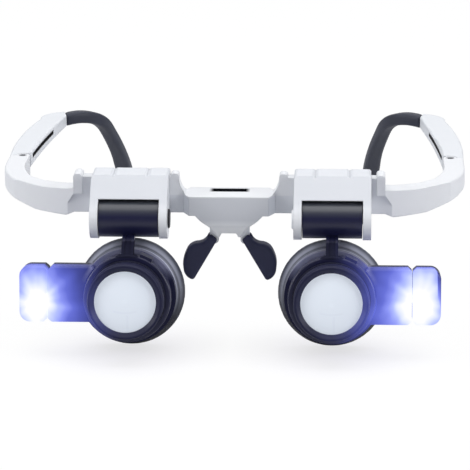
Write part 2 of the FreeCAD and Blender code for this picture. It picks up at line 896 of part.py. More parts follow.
def squared_ring(centre, side, rise, half_width, half_height):
    """Closed wire of a section with flat sides and round corners."""
    corner = half_height * TIP_CORNER_SHARE
    diagonal = corner * math.cos(math.radians(45))
    wide, tall = half_width - corner, half_height - corner

    def spot(across, up):
        return centre + side * across + rise * up

    edges = []
    for turn in range(4):
        # the four corners in order, each an arc followed by a straight side
        ahead, left = ((1, 1), (-1, 1), (-1, -1), (1, -1))[turn]
        flank = spot(ahead * half_width, left * tall)
        crown = spot(ahead * wide, left * half_height)
        start, end = (flank, crown) if ahead == left else (crown, flank)
        middle = spot(ahead * (wide + diagonal), left * (tall + diagonal))
        edges.append(Part.Arc(start, middle, end).toShape())
        if ahead == left:
            following = spot(-ahead * wide, left * half_height)
        else:
            following = spot(ahead * half_width, -left * tall)
        edges.append(Part.makeLine(end, following))
    return Part.Wire(edges)


def build_temple_tip():
    curve, places = tip_spine()
    known = [curve.parameter(place) for place in places]
    first, last = curve.FirstParameter, curve.LastParameter
    lean = math.radians(end_lean.number)
    face_normal = FreeCAD.Vector(-math.cos(lean), math.sin(lean), 0)
    up = FreeCAD.Vector(0, 0, 1)
    gap = size("seat_gap").number
    wires = []
    for step in range(TIP_STEPS + 1):
        along = first + (last - first) * step / TIP_STEPS
        centre = curve.value(along)
        heading = FreeCAD.Vector(*curve.tangent(along)[0])
        if step == 0:
            heading = face_normal
            centre = centre + face_normal * gap * 3
        side = heading.cross(up)
        side.normalize()
        rise = side.cross(heading)
        rise.normalize()
        half_width = size("tip_width").number / 2 * share_between(along, known, 3)
        half_height = size("tip_thickness").number / 2 * share_between(along, known, 4)
        wires.append(squared_ring(centre, side, rise, half_width, half_height))
    # rounded end: sections that shrink like those of a ball
    for turn in TIP_CAP_TURNS:
        beyond = centre + heading * (size("tip_end_radius").number * math.sin(math.radians(turn)))
        shrink = math.cos(math.radians(turn))
        wires.append(squared_ring(beyond, side, rise, half_width * shrink, half_height * shrink))
    shape = Part.makeLoft(wires, True, False)
    # socket for the arm's tang
    loose = gap * 2
    length = size("tang_length").number + loose
    width = size("tang_width").number + loose
    height = size("tang_height").number + loose
    socket = Part.makeBox(length + loose, width, height, FreeCAD.Vector(-loose, -width / 2, -height / 2))
    turn = FreeCAD.Rotation(up, 180 - size("tang_lean").number)
    socket.Placement = FreeCAD.Placement(places[0], turn)
    shape = shape.cut(socket)
    part = document.addObject("Part::Feature", "temple_tip_right")
    part.Label = "temple_tip_right"
    part.Shape = shape
    spot = FreeCAD.Vector(0, frame_y.number, frame_top.number)
    part.Placement = FreeCAD.Placement(spot, FreeCAD.Rotation())
    part.setExpression(".Placement.Base.y", frame_y.formula)
    part.setExpression(".Placement.Base.z", frame_top.formula)
    return part


# clamp

clamp_half = size("clamp_width") / 2
channel_front = rail_front - size("slide_gap")
channel_back = rail_back + size("slide_gap")
channel_top = size("rail_rise") + size("slide_gap")
channel_low = -(size("rail_drop") + size("slide_gap"))
wall_front = channel_front - size("clamp_front_wall")
wall_back = channel_back + size("clamp_back_wall")
clamp_top = channel_top + size("clamp_top_wall")
roller_half = clamp_half - size("ear_thickness") - size("roller_end_gap")


def tangent_point(point, centre, radius):
    """Where the line from a point touches a circle on the circle's front side."""
    away_y, away_z = point[0] - centre[0], point[1] - centre[1]
    squared = away_y * away_y + away_z * away_z
    along = radius * radius / squared
    across = radius * root(squared - radius * radius) / squared
    return (
        centre[0] + away_y * along - away_z * across,
        centre[1] + away_z * along + away_y * across,
    )


def clamp_side():
    """The clamp seen from its end: hood, ear and the channel that hooks under the rail."""
    brow = (channel_front - size("clamp_brow"), clamp_top)
    ear = size("ear_radius")
    touch = tangent_point(brow, (flip_y, flip_z), ear)
    lip = size("clamp_lip")
    lip_low = channel_low - size("clamp_lip_height")
    reach = wall_front - flip_y
    heel_z = flip_z - leg(ear, reach)
    return [
        brow,
        touch,
        (flip_y, flip_z - ear, ear),
        (wall_front, heel_z, ear),
        (wall_front, lip_low),
        (rail_front + lip, lip_low),
        (rail_front + lip, channel_low),
        (channel_front, channel_low),
        (channel_front, channel_top),
        (channel_back, channel_top),
        (channel_back, channel_low),
        (rail_back - lip, channel_low),
        (rail_back - lip, lip_low),
        (wall_back, lip_low),
        (wall_back, clamp_top),
    ]


def build_clamp():
    body = new_body("clamp_right")
    pad_outline(body, "YZ_Plane", clamp_side(), size("clamp_width"))
    # window for the roller between the ears
    window_half = clamp_half - size("ear_thickness")
    window_top = flip_z + size("roller_radius") + size("window_roof_gap")
    far = flip_y - size("ear_radius") * overrun_share
    window = [(wall_front, window_top), (far, window_top), (far, far), (wall_front, far)]
    cut_outline(body, "YZ_Plane", window, window_half * 2)
    # shallow seat for the drag spring in the back wall
    seat_half = size("spring_length") / 2 + size("slide_gap")
    seat_tall = size("spring_height") / 2 + size("slide_gap")
    seat_y = channel_back + size("spring_seat_depth")
    seat = box_corners(-seat_half, seat_half, -seat_tall, seat_tall)
    cut_outline(body, "XZ_Plane", seat, channel_back - rail_front, offset=-seat_y,
                both_ways=False, backwards=True)
    bore = size("flip_pin_radius") + size("running_gap")
    cut_round(body, "YZ_Plane", flip_y, flip_z, bore, size("clamp_width") * overrun_share)

    def top_rim(edge):
        box = edge.BoundBox
        at_back = abs(box.YMin - wall_back.number) < TOUCH
        at_end = box.XLength < TOUCH
        return lies_flat(edge, clamp_top.number) and (at_back or at_end)

    soften(body, top_rim, size("clamp_edge_round"))
    # two grip notches across the top
    notch_shares = (-0.45, 0.44)
    depth = size("grip_notch_depth")
    half = size("grip_notch_width") / 2
    for share in notch_shares:
        centre = clamp_half * share
        notch = [
            (centre - half * 2, clamp_top + depth),
            (centre, clamp_top - depth),
            (centre + half * 2, clamp_top + depth),
        ]
        cut_outline(body, "XZ_Plane", notch, clamp_half * 2)
    place(body, rest_x, frame_y, frame_top)
    return body


def build_clamp_spring():
    """Leaf spring that gives the clamp its drag on the rail."""
    body = new_body("clamp_spring_right")
    half = size("spring_length") / 2
    tall = size("spring_height")
    thick = size("spring_thickness")
    low_y = rail_back + size("running_gap")
    flat_share = 0.35
    bow = size("slide_gap")
    leaf = [
        (-half * flat_share, low_y),
        (half * flat_share, low_y),
        (half, low_y + bow),
        (half, low_y + bow + thick),
        (half * flat_share, low_y + thick),
        (-half * flat_share, low_y + thick),
        (-half, low_y + bow + thick),
        (-half, low_y + bow),
    ]
    pad_outline(body, "XY_Plane", leaf, tall)
    place(body, rest_x, frame_y, frame_top)
    return body


def build_flip_pin():
    """Pin through both ears, with a round cap on the bridge side."""
    body = new_body("flip_pin_right")
    cap = size("pin_cap_height")
    radius = size("flip_pin_radius")
    cap_face = -(clamp_half + size("running_gap"))
    pad_round(body, "YZ_Plane", 0, 0, size("pin_cap_radius"), cap, offset=cap_face,
              both_ways=False, backwards=True)
    pad_round(body, "YZ_Plane", 0, 0, radius, clamp_half - cap_face, offset=cap_face, both_ways=False)

    def rim(edge):
        return abs(edge.BoundBox.XMin + clamp_half.number + cap.number + size("running_gap").number) < TOUCH

    soften(body, rim, cap / 2, kind="Chamfer")
    place(body, rest_x, frame_y + flip_y, frame_top + flip_z)
    return body


# loupe holder: roller, neck and ring

holder_end = size("holder_start") + size("holder_width")
holder_inner = size("barrel_radius") + size("seat_gap")
holder_outer = holder_inner + size("holder_wall")


def build_loupe_holder(side):
    body = new_body(f"loupe_holder_{side}")
    flip_s, flip_n = size("flip_setback"), size("flip_rise")
    roller = size("roller_radius")
    start = size("holder_start")
    bead_share = 0.35
    bead = size("holder_wall") * bead_share
    turn_outline(body, [
        (holder_inner, start),
        (holder_outer - bead, start),
        (holder_outer, start + bead, bead),
        (holder_outer, holder_end - bead),
        (holder_outer - bead, holder_end, bead),
        (holder_inner, holder_end),
    ])
    pad_round(body, "YZ_Plane", flip_s, flip_n, roller, roller_half * 2)
    # neck from the ring up to the underside of the roller, clear of the lamp's collar
    middle = start + size("holder_width") / 2
    foot = holder_inner + size("holder_wall") / 2
    foot_front = middle - size("holder_width") / 2 + bead
    foot_back = holder_end - bead
    throat_share = 0.36
    throat = flip_n - roller * throat_share
    neck = [
        (flip_s, throat),
        (foot_front, foot),
        (foot_back, foot),
        (foot_back, holder_inner + size("collar_wall") + size("ring_gap")),
        (flip_s + roller / 2, flip_n - roller / 2),
    ]
    pad_outline(body, "YZ_Plane", neck, size("neck_width"))
    # two thin ribs down the edges of the neck's front
    rib = size("neck_rib")
    rib_width = size("neck_width") / 4
    rib_side = (size("neck_width") - rib_width) / 2
    for across in (-rib_side, rib_side):
        ribs = [
            (flip_s - rib, throat),
            (foot_front - rib / 2, foot),
            (middle, foot),
            (flip_s, throat - rib),
        ]
        pad_outline(body, "YZ_Plane", ribs, rib_width, offset=across)
    bore = size("flip_pin_radius") + size("running_gap")
    cut_round(body, "YZ_Plane", flip_s, flip_n, bore, roller_half * 4)
    # raised lug on the ring, at one o'clock on both loupes
    lug_turn = size("holder_lug_angle")
    half_lug = size("holder_lug_width") / 2
    inner, outer = holder_inner + bead, holder_outer + size("holder_lug_rise")
    along, out = (cosine(lug_turn), -sine(lug_turn)), (sine(lug_turn), cosine(lug_turn))
    lug = []
    for reach, shift in ((inner, -half_lug), (inner, half_lug), (outer, half_lug), (outer, -half_lug)):
        lug.append((out[0] * reach + along[0] * shift, out[1] * reach + along[1] * shift))
    pad_outline(body, "XZ_Plane", lug, size("holder_width") - bead * 2, offset=-middle)
    in_loupe(body)
    if side == "left":
        body.setExpression(".Placement.Base.x", (rest_shift - size("clamp_at_rest")).formula)
    return body


# barrel, lenses and their rings; the outlines give radius and depth from the lens plane

cell_end = size("cell_length")
bore_radius = size("barrel_radius") - size("barrel_wall")
barrel_end = size("eyecup_depth") - size("barrel_setback")
spigot = bore_radius - size("seat_gap")
lens_back = size("lens_lip") + size("lens_edge")


def build_lens_cell():
    body = new_body("lens_cell_right")
    radius = size("cell_radius")
    window = size("lens_radius") - size("lens_lip")
    seat = size("lens_radius") + size("seat_gap")
    turn_outline(body, [
        (window, 0),
        (size("bezel_radius"), -size("bezel_height")),
        (size("bezel_radius") + size("lens_lip"), -size("bezel_height")),
        (radius, 0),
        (radius, cell_end),
        (spigot, cell_end),
        (spigot, cell_end + size("cell_thread_length")),
        (seat, cell_end + size("cell_thread_length")),
        (seat, size("lens_lip")),
        (window, size("lens_lip")),
    ])
    in_loupe(body)
    return body


def lens_outline(radius, front, edge, bulge):
    """Half section of a lens with a flat rim; front is the depth of its front rim face."""
    clear = radius - size("lens_lip") * overrun_share
    curve = (clear * clear + bulge * bulge) / (bulge * 2)
    return [
        (0, front - bulge),
        (clear, front, curve),
        (radius, front),
        (radius, front + edge),
        (clear, front + edge),
        (0, front + edge + bulge, curve),
    ]


def build_front_lens():
    body = new_body("front_lens_right")
    radius, front = size("lens_radius"), size("lens_lip")
    turn_outline(body, lens_outline(radius, front, size("lens_edge"), size("lens_bulge")))
    in_loupe(body)
    return body


def build_lens_ring():
    body = new_body("lens_ring_right")
    outer = size("lens_radius")
    inner = outer - size("lens_lip") * overrun_share
    back = lens_back + size("seat_gap")
    turn_outline(body, box_corners(inner, outer, back, back + size("lens_ring_height")))
    in_loupe(body)
    return body


eye_seat = barrel_end - size("eye_lens_height") - size("seat_gap")


def build_barrel():
    body = new_body("barrel_right")
    outer = size("barrel_radius")
    ledge = bore_radius - size("barrel_wall")
    turn_outline(body, [
        (bore_radius, cell_end + size("seat_gap")),
        (outer, cell_end + size("seat_gap")),
        (outer, barrel_end),
        (bore_radius, barrel_end),
        (bore_radius, eye_seat),
        (ledge, eye_seat),
        (ledge, eye_seat - size("barrel_wall")),
        (bore_radius, eye_seat - size("barrel_wall") * 2),
    ])
    in_loupe(body)
    return body


def build_eye_lens():
    body = new_body("eye_lens_right")
    radius = bore_radius - size("seat_gap")
    bulge = size("lens_bulge") / 2
    front = eye_seat + size("seat_gap")
    edge = size("eye_lens_height") - size("seat_gap") * 2
    clear = bore_radius - size("barrel_wall") - size("lens_lip")
    curve = (clear * clear + bulge * bulge) / (bulge * 2)
    turn_outline(body, [
        (0, front - bulge),
        (clear, front, curve),
        (radius, front),
        (radius, front + edge),
        (clear, front + edge),
        (0, front + edge - bulge, -curve),
    ])
    in_loupe(body)
    return body


collar_start = holder_end + size("ring_gap")
collar_end = collar_start + size("collar_width")
cup_start = collar_end + size("ring_gap")
cup_neck = holder_outer


def build_eyecup():
    body = new_body("eyecup_right")
    depth, bead, rim = size("eyecup_depth"), size("eyecup_bead"), size("eyecup_rim_radius")
    wall = size("eyecup_wall")
    inner = size("barrel_radius") + size("seat_gap")
    flange_front = barrel_end + size("seat_gap")
    flange_back = flange_front + size("barrel_wall")
    neck_share = 0.3
    flare_start = cup_start + size("collar_width") * neck_share * 2
    flare_share = 0.55
    turn_outline(body, [
        (inner, cup_start),
        (cup_neck, cup_start),
        (cup_neck, flare_start),
        (rim, depth - bead, depth * flare_share),
        (rim - bead, depth, bead),
        (rim - bead * 2, depth - bead, bead),
        (cup_neck - bead, flange_back, -depth * flare_share),
        (bore_radius - wall, flange_back),
        (bore_radius - wall, flange_front),
        (inner, flange_front),
    ])
    in_loupe(body)
    return body


# lamp; x is the distance from the barrel axis

case_low = size("lamp_rise") - size("lamp_height") / 2
case_high = size("lamp_rise") + size("lamp_height") / 2
case_back = size("lamp_front") + size("lamp_depth")
case_middle = size("lamp_front") + size("lamp_depth") / 2
cover_top = case_high - size("lamp_corner_round")
track_half = size("cell_can_radius") + size("cover_margin")


def build_lamp_case():
    body = new_body("lamp_case_right")
    depth = size("lamp_depth")
    inner = size("barrel_radius") / 2
    split = size("lamp_split")
    block = box_corners(inner, split, case_low, case_high)
    pad_outline(body, "XZ_Plane", block, depth, offset=-case_middle)
    hollow = holder_outer + size("ring_gap")
    cut_round(body, "XZ_Plane", 0, 0, hollow, through)
    # bevelled edge at the split
    bevel = size("lamp_notch")
    for edge_z, way in ((case_low, 1), (case_high, -1)):
        corner = [
            (split - bevel, edge_z),
            (split + bevel, edge_z + bevel * way * 2),
            (split + bevel, edge_z - bevel * way),
            (split - bevel, edge_z - bevel * way),
        ]
        cut_outline(body, "XZ_Plane", corner, through)

    def long_edge(edge):
        box = edge.BoundBox
        flat_top = lies_flat(edge, case_low.number) or lies_flat(edge, case_high.number)
        return flat_top and box.XLength > box.YLength * 4

    soften(body, long_edge, size("lamp_edge_round"))
    # relief for the holder's lug when the lamp swings up
    lug_reach = holder_outer + size("holder_lug_rise")
    half_lug = size("holder_lug_width") / 2
    relief_reach = root(lug_reach * lug_reach + half_lug * half_lug) + size("ring_gap")
    lug_turn = size("holder_lug_angle")
    lug_spread = half_lug / lug_reach * DEGREES
    relief_turn = lug_turn + lug_spread + size("swivel_up") + size("swivel_clearance")
    relief = [
        (holder_inner * sine(lug_turn), holder_inner * cosine(lug_turn)),
        (relief_reach * sine(lug_turn), relief_reach * cosine(lug_turn)),
        (relief_reach * sine(relief_turn), relief_reach * cosine(relief_turn), -relief_reach),
        (holder_inner * sine(relief_turn), holder_inner * cosine(relief_turn)),
    ]
    cut_outline(body, "XZ_Plane", relief, collar_start, offset=-collar_start,
                both_ways=False, backwards=True)
    # collar that turns on the barrel
    collar_outer = holder_inner + size("collar_wall")
    ring = box_corners(holder_inner, collar_outer, collar_start, collar_end)
    turn_outline(body, ring)
    # cell bay, open at the back
    centre = size("cell_centre_out")
    room = size("cell_can_radius") + size("slide_gap")
    stack = size("cell_can_height") * CELL_COUNT + size("cell_spring_height") + size("slide_gap")
    bay_low = case_low + size("lamp_wall") * 3
    bay_back = case_back + size("lamp_wall")
    bay_depth = depth
    bay = box_corners(centre - room, centre + room, bay_low, bay_low + stack)
    cut_outline(body, "XZ_Plane", bay, bay_depth, offset=-bay_back, both_ways=False, backwards=True)
    # track for the sliding cover, open at the bottom
    thick = size("cover_thickness")
    lip_half = track_half - size("cover_margin") / 2
    low = case_low - size("lamp_wall")
    outer_track = box_corners(centre - lip_half, centre + lip_half, low, cover_top)
    cut_outline(body, "XZ_Plane", outer_track, thick * 2, offset=-case_back)
    inner_track = box_corners(centre - track_half, centre + track_half, low, cover_top)
    cut_outline(body, "XZ_Plane", inner_track, thick / 2, offset=-(case_back - thick * 3 / 4))
    # slot for the slide switch in the underside
    length, tall = size("switch_slot_length"), size("switch_slot_height")
    middle = size("lamp_front") + size("switch_setback")
    slot = box_corners(centre - length / 2, centre + length / 2, middle - tall / 2, middle + tall / 2)
    cut_outline(body, "XY_Plane", slot, size("switch_slot_depth"), offset=case_low,
                both_ways=False, backwards=True)
    # socket for the tilt spigot of the lamp head
    socket = size("tilt_spigot_radius") + size("running_gap")
    socket_length = size("tilt_spigot_length") + size("running_gap") * 2
    cut_round(body, "YZ_Plane", case_middle, size("lamp_rise"), socket, socket_length, offset=split,
              both_ways=False, backwards=False)
    in_loupe(body)
    return body


def build_lamp_head():
    body = new_body("lamp_head_right")
    depth = size("lamp_depth")
    start = size("lamp_split") + size("lamp_split_gap")
    reach = size("lamp_reach")
    block = box_corners(start, reach, case_low, case_high)
    pad_outline(body, "XZ_Plane", block, depth, offset=-case_middle)
    bevel = size("lamp_notch")
    for edge_z, way in ((case_low, 1), (case_high, -1)):
        corner = [
            (start + bevel, edge_z),
            (start - bevel, edge_z + bevel * way * 2),
            (start - bevel, edge_z - bevel * way),
            (start + bevel, edge_z - bevel * way),
        ]
        cut_outline(body, "XZ_Plane", corner, through)

    def outer_corner(edge):
        box = edge.BoundBox
        return box.YLength > box.XLength + box.ZLength and box.XMin > reach.number - TOUCH

    soften(body, outer_corner, size("lamp_corner_round"))

    def front_back_rim(edge):
        box = edge.BoundBox
        at_front = abs(box.YMax - size("lamp_front").number) < TOUCH
        at_back = abs(box.YMin - case_back.number) < TOUCH
        return (at_front or at_back) and box.XMax > start.number + bevel.number + TOUCH

    soften(body, front_back_rim, size("lamp_edge_round"))
    # seat for the reflector, bore for the diode
    out, down = size("led_out"), size("lamp_rise") - size("led_drop")
    front = size("lamp_front")
    cut_round(body, "XZ_Plane", out, down, size("reflector_radius") + size("seat_gap"),
              size("reflector_depth") * 2, offset=-front)
    cut_round(body, "XZ_Plane", out, down, size("led_radius") + size("seat_gap"),
              size("led_length") * 2, offset=-front)
    spigot_length = size("tilt_spigot_length") + size("lamp_split_gap")
    pad_round(body, "YZ_Plane", case_middle, size("lamp_rise"), size("tilt_spigot_radius"), spigot_length,
              offset=start, both_ways=False, backwards=True)
    in_loupe(body)
    return body


def in_lamp(body, s_offset):
    """Place a round lamp piece on the lamp's optical axis."""
    out, down = size("led_out"), size("lamp_rise") - size("led_drop")
    turn_y, turn_z = cosine(tilt), sine(tilt)
    place(body, lens_at[0] + out, lens_at[1] + s_offset * turn_y + down * turn_z,
          lens_at[2] - s_offset * turn_z + down * turn_y, tilt=-tilt)


def build_led():
    """Round diode with a domed lens and a foot flange."""
    body = new_body("led_right")
    radius = size("led_radius")
    length = size("led_length") - size("seat_gap")
    flange = size("lens_lip")
    dome_share = 1.1
    turn_outline(body, [
        (0, -radius / 2),
        (radius - flange / 2, radius / 4, radius * dome_share),
        (radius - flange / 2, length - flange * 2),
        (radius, length - flange * 2),
        (radius, length),
        (0, length),
    ])
    in_lamp(body, size("lamp_front"))
    return body


def build_led_reflector():
    body = new_body("led_reflector_right")
    outer, depth = size("reflector_radius"), size("reflector_depth") - size("seat_gap")
    inner = size("led_radius")
    edge = size("seat_gap") * 4
    turn_outline(body, [
        (inner, depth),
        (inner, depth - edge),
        (outer - edge, 0),
        (outer, 0),
        (outer, depth),
    ])
    in_lamp(body, size("lamp_front"))
    return body


def build_button_cells():
    """Stack of three button cells with stepped rims."""
    body = new_body("button_cells_right")
    radius, tall = size("cell_can_radius"), size("cell_can_height")
    step_share = 0.12
    step = tall * step_share
    corners = [(0, 0)]
    for number in range(CELL_COUNT):
        base = tall * number
        corners.append((radius, base))
        corners.append((radius, base + tall - step))
        corners.append((radius - step, base + tall - step))
        corners.append((radius - step, base + tall))
    corners.append((0, tall * CELL_COUNT))
    sketch = new_sketch(body, "XZ_Plane")
    outline(sketch, corners)
    turned(body, "Revolution", sketch)
    depth = size("lamp_front") + size("lamp_wall") + size("slide_gap") * 2 + radius
    low = case_low + size("lamp_wall") * 3 + size("running_gap")
    turn_y, turn_z = cosine(tilt), sine(tilt)
    place(body, lens_at[0] + size("cell_centre_out"), lens_at[1] + depth * turn_y + low * turn_z,
          lens_at[2] - depth * turn_z + low * turn_y, tilt=-tilt)
    return body


def build_cell_contact():
    """Bent contact strip above the cells."""
    body = new_body("cell_contact_right")
    centre = size("cell_centre_out")
    half = size("cell_can_radius") - size("slide_gap")
    low = case_low + size("lamp_wall") * 3 + size("cell_can_height") * CELL_COUNT + size("running_gap") * 2
    rise = size("cell_spring_height")
    thick = size("spring_thickness")
    strip = [
        (centre - half, low + rise - thick),
        (centre - half / 2, low),
        (centre + half / 2, low),
        (centre + half, low + rise - thick),
        (centre + half, low + rise),
        (centre + half / 2, low + thick),
        (centre - half / 2, low + thick),
        (centre - half, low + rise),
    ]
    depth = size("lamp_front") + size("lamp_wall") + size("slide_gap") * 2 + size("cell_can_radius")
    pad_outline(body, "XZ_Plane", strip, size("spring_height"), offset=-depth)
    in_loupe(body)
    return body


def build_battery_cover():
    """Sliding cover with a grip bar, held by the track's lips."""
    body = new_body("battery_cover_right")
    centre = size("cell_centre_out")
    thick = size("cover_thickness")
    gap = size("cover_gap")
    lip_half = track_half - size("cover_margin") / 2 - gap
    wide_half = track_half - gap
    low, high = case_low + gap, cover_top - gap
    face = box_corners(centre - lip_half, centre + lip_half, low, high)
    plate_front = case_back - thick
    pad_outline(body, "XZ_Plane", face, thick, offset=-(case_back - thick / 2))
    wings = box_corners(centre - wide_half, centre + wide_half, low, high)
    wing_thick = thick / 2 - gap
    pad_outline(body, "XZ_Plane", wings, wing_thick, offset=-(plate_front + thick / 4))
    grip_shares = (0.2, 0.3, 0.4)
    for share in grip_shares:
        middle = low + (high - low) * share
        bar = box_corners(centre - lip_half / 2, centre + lip_half / 2, middle - gap, middle + gap)
        pad_outline(body, "XZ_Plane", bar, gap * 2, offset=-case_back)
    in_loupe(body)
    return body


def build_switch():
    body = new_body("switch_right")
    centre = size("cell_centre_out") - size("switch_travel") / 2
    length = size("switch_knob_length")
    tall = size("switch_slot_height") - size("cover_gap") * 2
    middle = size("lamp_front") + size("switch_setback")
    knob = box_corners(centre - length / 2, centre + length / 2, middle - tall / 2, middle + tall / 2)
    top = case_low + size("switch_slot_depth") - size("cover_gap")
    height = size("switch_slot_depth") - size("cover_gap") * 2
    pad_outline(body, "XY_Plane", knob, height, offset=top, both_ways=False, backwards=True)
    in_loupe(body)
    return body


# nose pads


def build_nose_pad():
    """Soft pad on a pin: a leaf seen from the front with a contact strip along the nose."""
    body = new_body("nose_pad_right")
    reach, length = size("nose_pad_reach"), size("nose_pad_length")
    thick = size("nose_pad_thickness")
    # shares of reach and length from the pin, clockwise from its inner side; then the arc
    leaf_shares = (
        (-0.1, 0.005, 0),
        (0.05, 0.12, 0),
        (0.21, 0.045, -0.115),
        (0.49, -0.075, 0.35),
        (0.83, -0.28, -0.39),
        (0.91, -0.67, -0.81),
        (0.67, -0.925, -0.36),
        (0.585, -0.9, -0.09),
    )
    leaf = []
    for across, up, bend in leaf_shares:
        corner = (reach * across, length * up)
        leaf.append(corner + (reach * bend,) if bend else corner)
    pad_outline(body, "XZ_Plane", leaf, thick)
    # contact strip along the inner edge, deeper than the leaf
    strip_shares = ((-0.1, 0.005), (0.585, -0.9), (0.66, -0.9), (0.03, 0.02))
    strip = [(reach * across, length * up) for across, up in strip_shares]
    pad_outline(body, "XZ_Plane", strip, size("nose_pad_flange_depth"), offset=thick / 2,
                both_ways=False, backwards=True)

    def round_rim(edge):
        box = edge.BoundBox
        flat = box.YLength < TOUCH
        front = abs(box.YMin + thick.number / 2) < TOUCH
        return flat and front and edge.Length > TOUCH

    soften(body, round_rim, size("nose_pad_round"))
    # gap for the frame's lug, hole for the pin
    gap = size("nose_lug_thickness") + size("cover_gap") * 2
    room = size("nose_lug_radius") + size("cover_gap") * 2
    cut_round(body, "XZ_Plane", 0, 0, room, gap)
    upper = box_corners(-room * 2, room * 2, 0, room * 2)
    cut_outline(body, "XZ_Plane", upper, gap)
    cut_round(body, "XZ_Plane", 0, 0, size("nose_pin_radius") + size("seat_gap"),
              thick - size("nose_pad_skin"), offset=-thick / 2, both_ways=False, backwards=True)
    place(body, size("nose_pin_x"), frame_y + size("nose_lug_setback"), frame_top - size("nose_pin_z"))
    return body


build_front_frame()
keep_pair("hinge_screws", build_hinge_screw())
keep_pair("nose_pad_pins", build_nose_pad_pin())
for build in (
    build_temple_arm,
    build_strap_sleeve,
    build_temple_tip,
    build_nose_pad,
):
    keep_with_mirror(build())
for build in (
    build_clamp,
    build_clamp_spring,
    build_flip_pin,
    build_barrel,
    build_lens_cell,
    build_front_lens,
    build_lens_ring,
    build_eye_lens,
    build_eyecup,
    build_lamp_case,
    build_lamp_head,
    build_led,
    build_led_reflector,
    build_button_cells,
    build_cell_contact,
    build_battery_cover,
    build_switch,
):
    keep_with_mirror(build(), middle=rest_shift)
for side in ("left", "right"):
    keep(build_loupe_holder(side))

# check every object, then write one file for each piece

document.recompute()
for item in document.Objects:
    assert not set(item.State) & {"Invalid", "Error"}, f"{item.Name} did not build"

os.makedirs("parts", exist_ok=True)
for piece in pieces:
    shape = piece.Shape
    assert shape.isValid() and not shape.isNull() and shape.Solids, f"{piece.Label} has no sound shape"
    shape.exportStep(f"parts/{piece.Label}.step")
    print(piece.Label, len(shape.Solids), round(shape.Volume, 1))
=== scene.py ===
# %% [markdown]
# A head-worn magnifier: a white spectacle frame, two black loupes that slide and flip up,
# and a small battery lamp on the outer side of each. The solids come ready-made from the
# CAD model, so this lesson is about finishes, a few soft pieces, light and the camera.

import json
import math

import bpy
from mathutils import Matrix, Vector

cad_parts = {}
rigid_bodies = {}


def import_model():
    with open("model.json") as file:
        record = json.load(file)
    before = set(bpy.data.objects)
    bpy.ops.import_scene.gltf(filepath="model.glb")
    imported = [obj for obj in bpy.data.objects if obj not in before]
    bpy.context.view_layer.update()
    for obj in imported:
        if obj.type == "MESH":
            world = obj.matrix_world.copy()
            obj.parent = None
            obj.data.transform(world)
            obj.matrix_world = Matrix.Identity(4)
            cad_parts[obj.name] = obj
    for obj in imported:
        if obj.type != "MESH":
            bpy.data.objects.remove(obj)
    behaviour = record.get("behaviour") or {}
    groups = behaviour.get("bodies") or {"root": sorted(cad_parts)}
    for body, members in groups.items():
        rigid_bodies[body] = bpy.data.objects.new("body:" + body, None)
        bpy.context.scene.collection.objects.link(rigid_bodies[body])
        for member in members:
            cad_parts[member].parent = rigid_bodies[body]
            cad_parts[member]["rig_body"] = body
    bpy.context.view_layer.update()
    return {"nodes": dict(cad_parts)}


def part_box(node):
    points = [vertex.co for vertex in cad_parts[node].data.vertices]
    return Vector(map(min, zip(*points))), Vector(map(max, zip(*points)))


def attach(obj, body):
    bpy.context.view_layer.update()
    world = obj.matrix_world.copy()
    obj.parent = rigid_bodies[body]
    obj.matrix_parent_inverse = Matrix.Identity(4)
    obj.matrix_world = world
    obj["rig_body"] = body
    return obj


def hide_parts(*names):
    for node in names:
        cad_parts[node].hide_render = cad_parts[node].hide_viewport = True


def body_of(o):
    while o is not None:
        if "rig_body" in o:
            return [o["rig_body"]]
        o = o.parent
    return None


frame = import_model()

MM = 0.001
SIDES = {"left": -1, "right": 1}

# %% [markdown]
# Every finish is a small network of shader nodes. It could be drawn by hand in the shader
# editor, but a long sum soon becomes a maze of boxes. Here a Wire stands for one output
# socket and understands + - * / and **, so that a written sum adds its own Math nodes.

# %% Wires
FADE_SHARE = 0.2


class Wire:
    """One output socket that can stand in a Python expression."""

    def __init__(self, finish, socket):
        self.finish = finish
        self.socket = socket

    def maths(self, operation, *values):
        return self.finish.node("ShaderNodeMath", {"operation": operation}, *values)

    def __add__(self, other):
        return self.maths("ADD", self, other)

    def __sub__(self, other):
        return self.maths("SUBTRACT", self, other)

    def __rsub__(self, other):
        return self.maths("SUBTRACT", other, self)

    def __mul__(self, other):
        return self.maths("MULTIPLY", self, other)

    def __truediv__(self, other):
        return self.maths("DIVIDE", self, other)

    def __pow__(self, other):
        return self.maths("POWER", self, other)

    __radd__ = __add__
    __rmul__ = __mul__

    def held(self):
        """The value kept between 0 and 1."""
        return self.finish.node("ShaderNodeClamp", {}, self, 0.0, 1.0)

    def past(self, start, fade):
        """0 up to the start, rising to 1 over the fade."""
        return ((self - start) / fade).held()

    def short_of(self, end, fade):
        """0 beyond the end, and 1 where the value is at least the fade below it."""
        return ((end - self) / fade).held()

    def between(self, low, high):
        """A value from 0 to 1 stretched to run from low to high."""
        return self * (high - low) + low

    def within(self, limit):
        """1 where the value lies between -limit and limit, fading to 0 just outside."""
        fade = limit * FADE_SHARE
        return self.maths("ABSOLUTE", self).short_of(limit + fade, fade)


print("a limit fades out over", FADE_SHARE, "of itself")

# %% [markdown]
# A Finish is one material around one Principled shader. A single method adds any other
# node: it takes the node's type, its settings, and the values or wires of its sockets. A
# number that is the same all over a piece goes straight on the shader's own socket, because
# then the finish survives an export to other programs.

# %% Finishes
MIX_FACTOR, MIX_FIRST, MIX_SECOND, MIX_RESULT = 0, 6, 7, 2
OBJECT_PLACE = 3
BEVEL_SAMPLES = 4


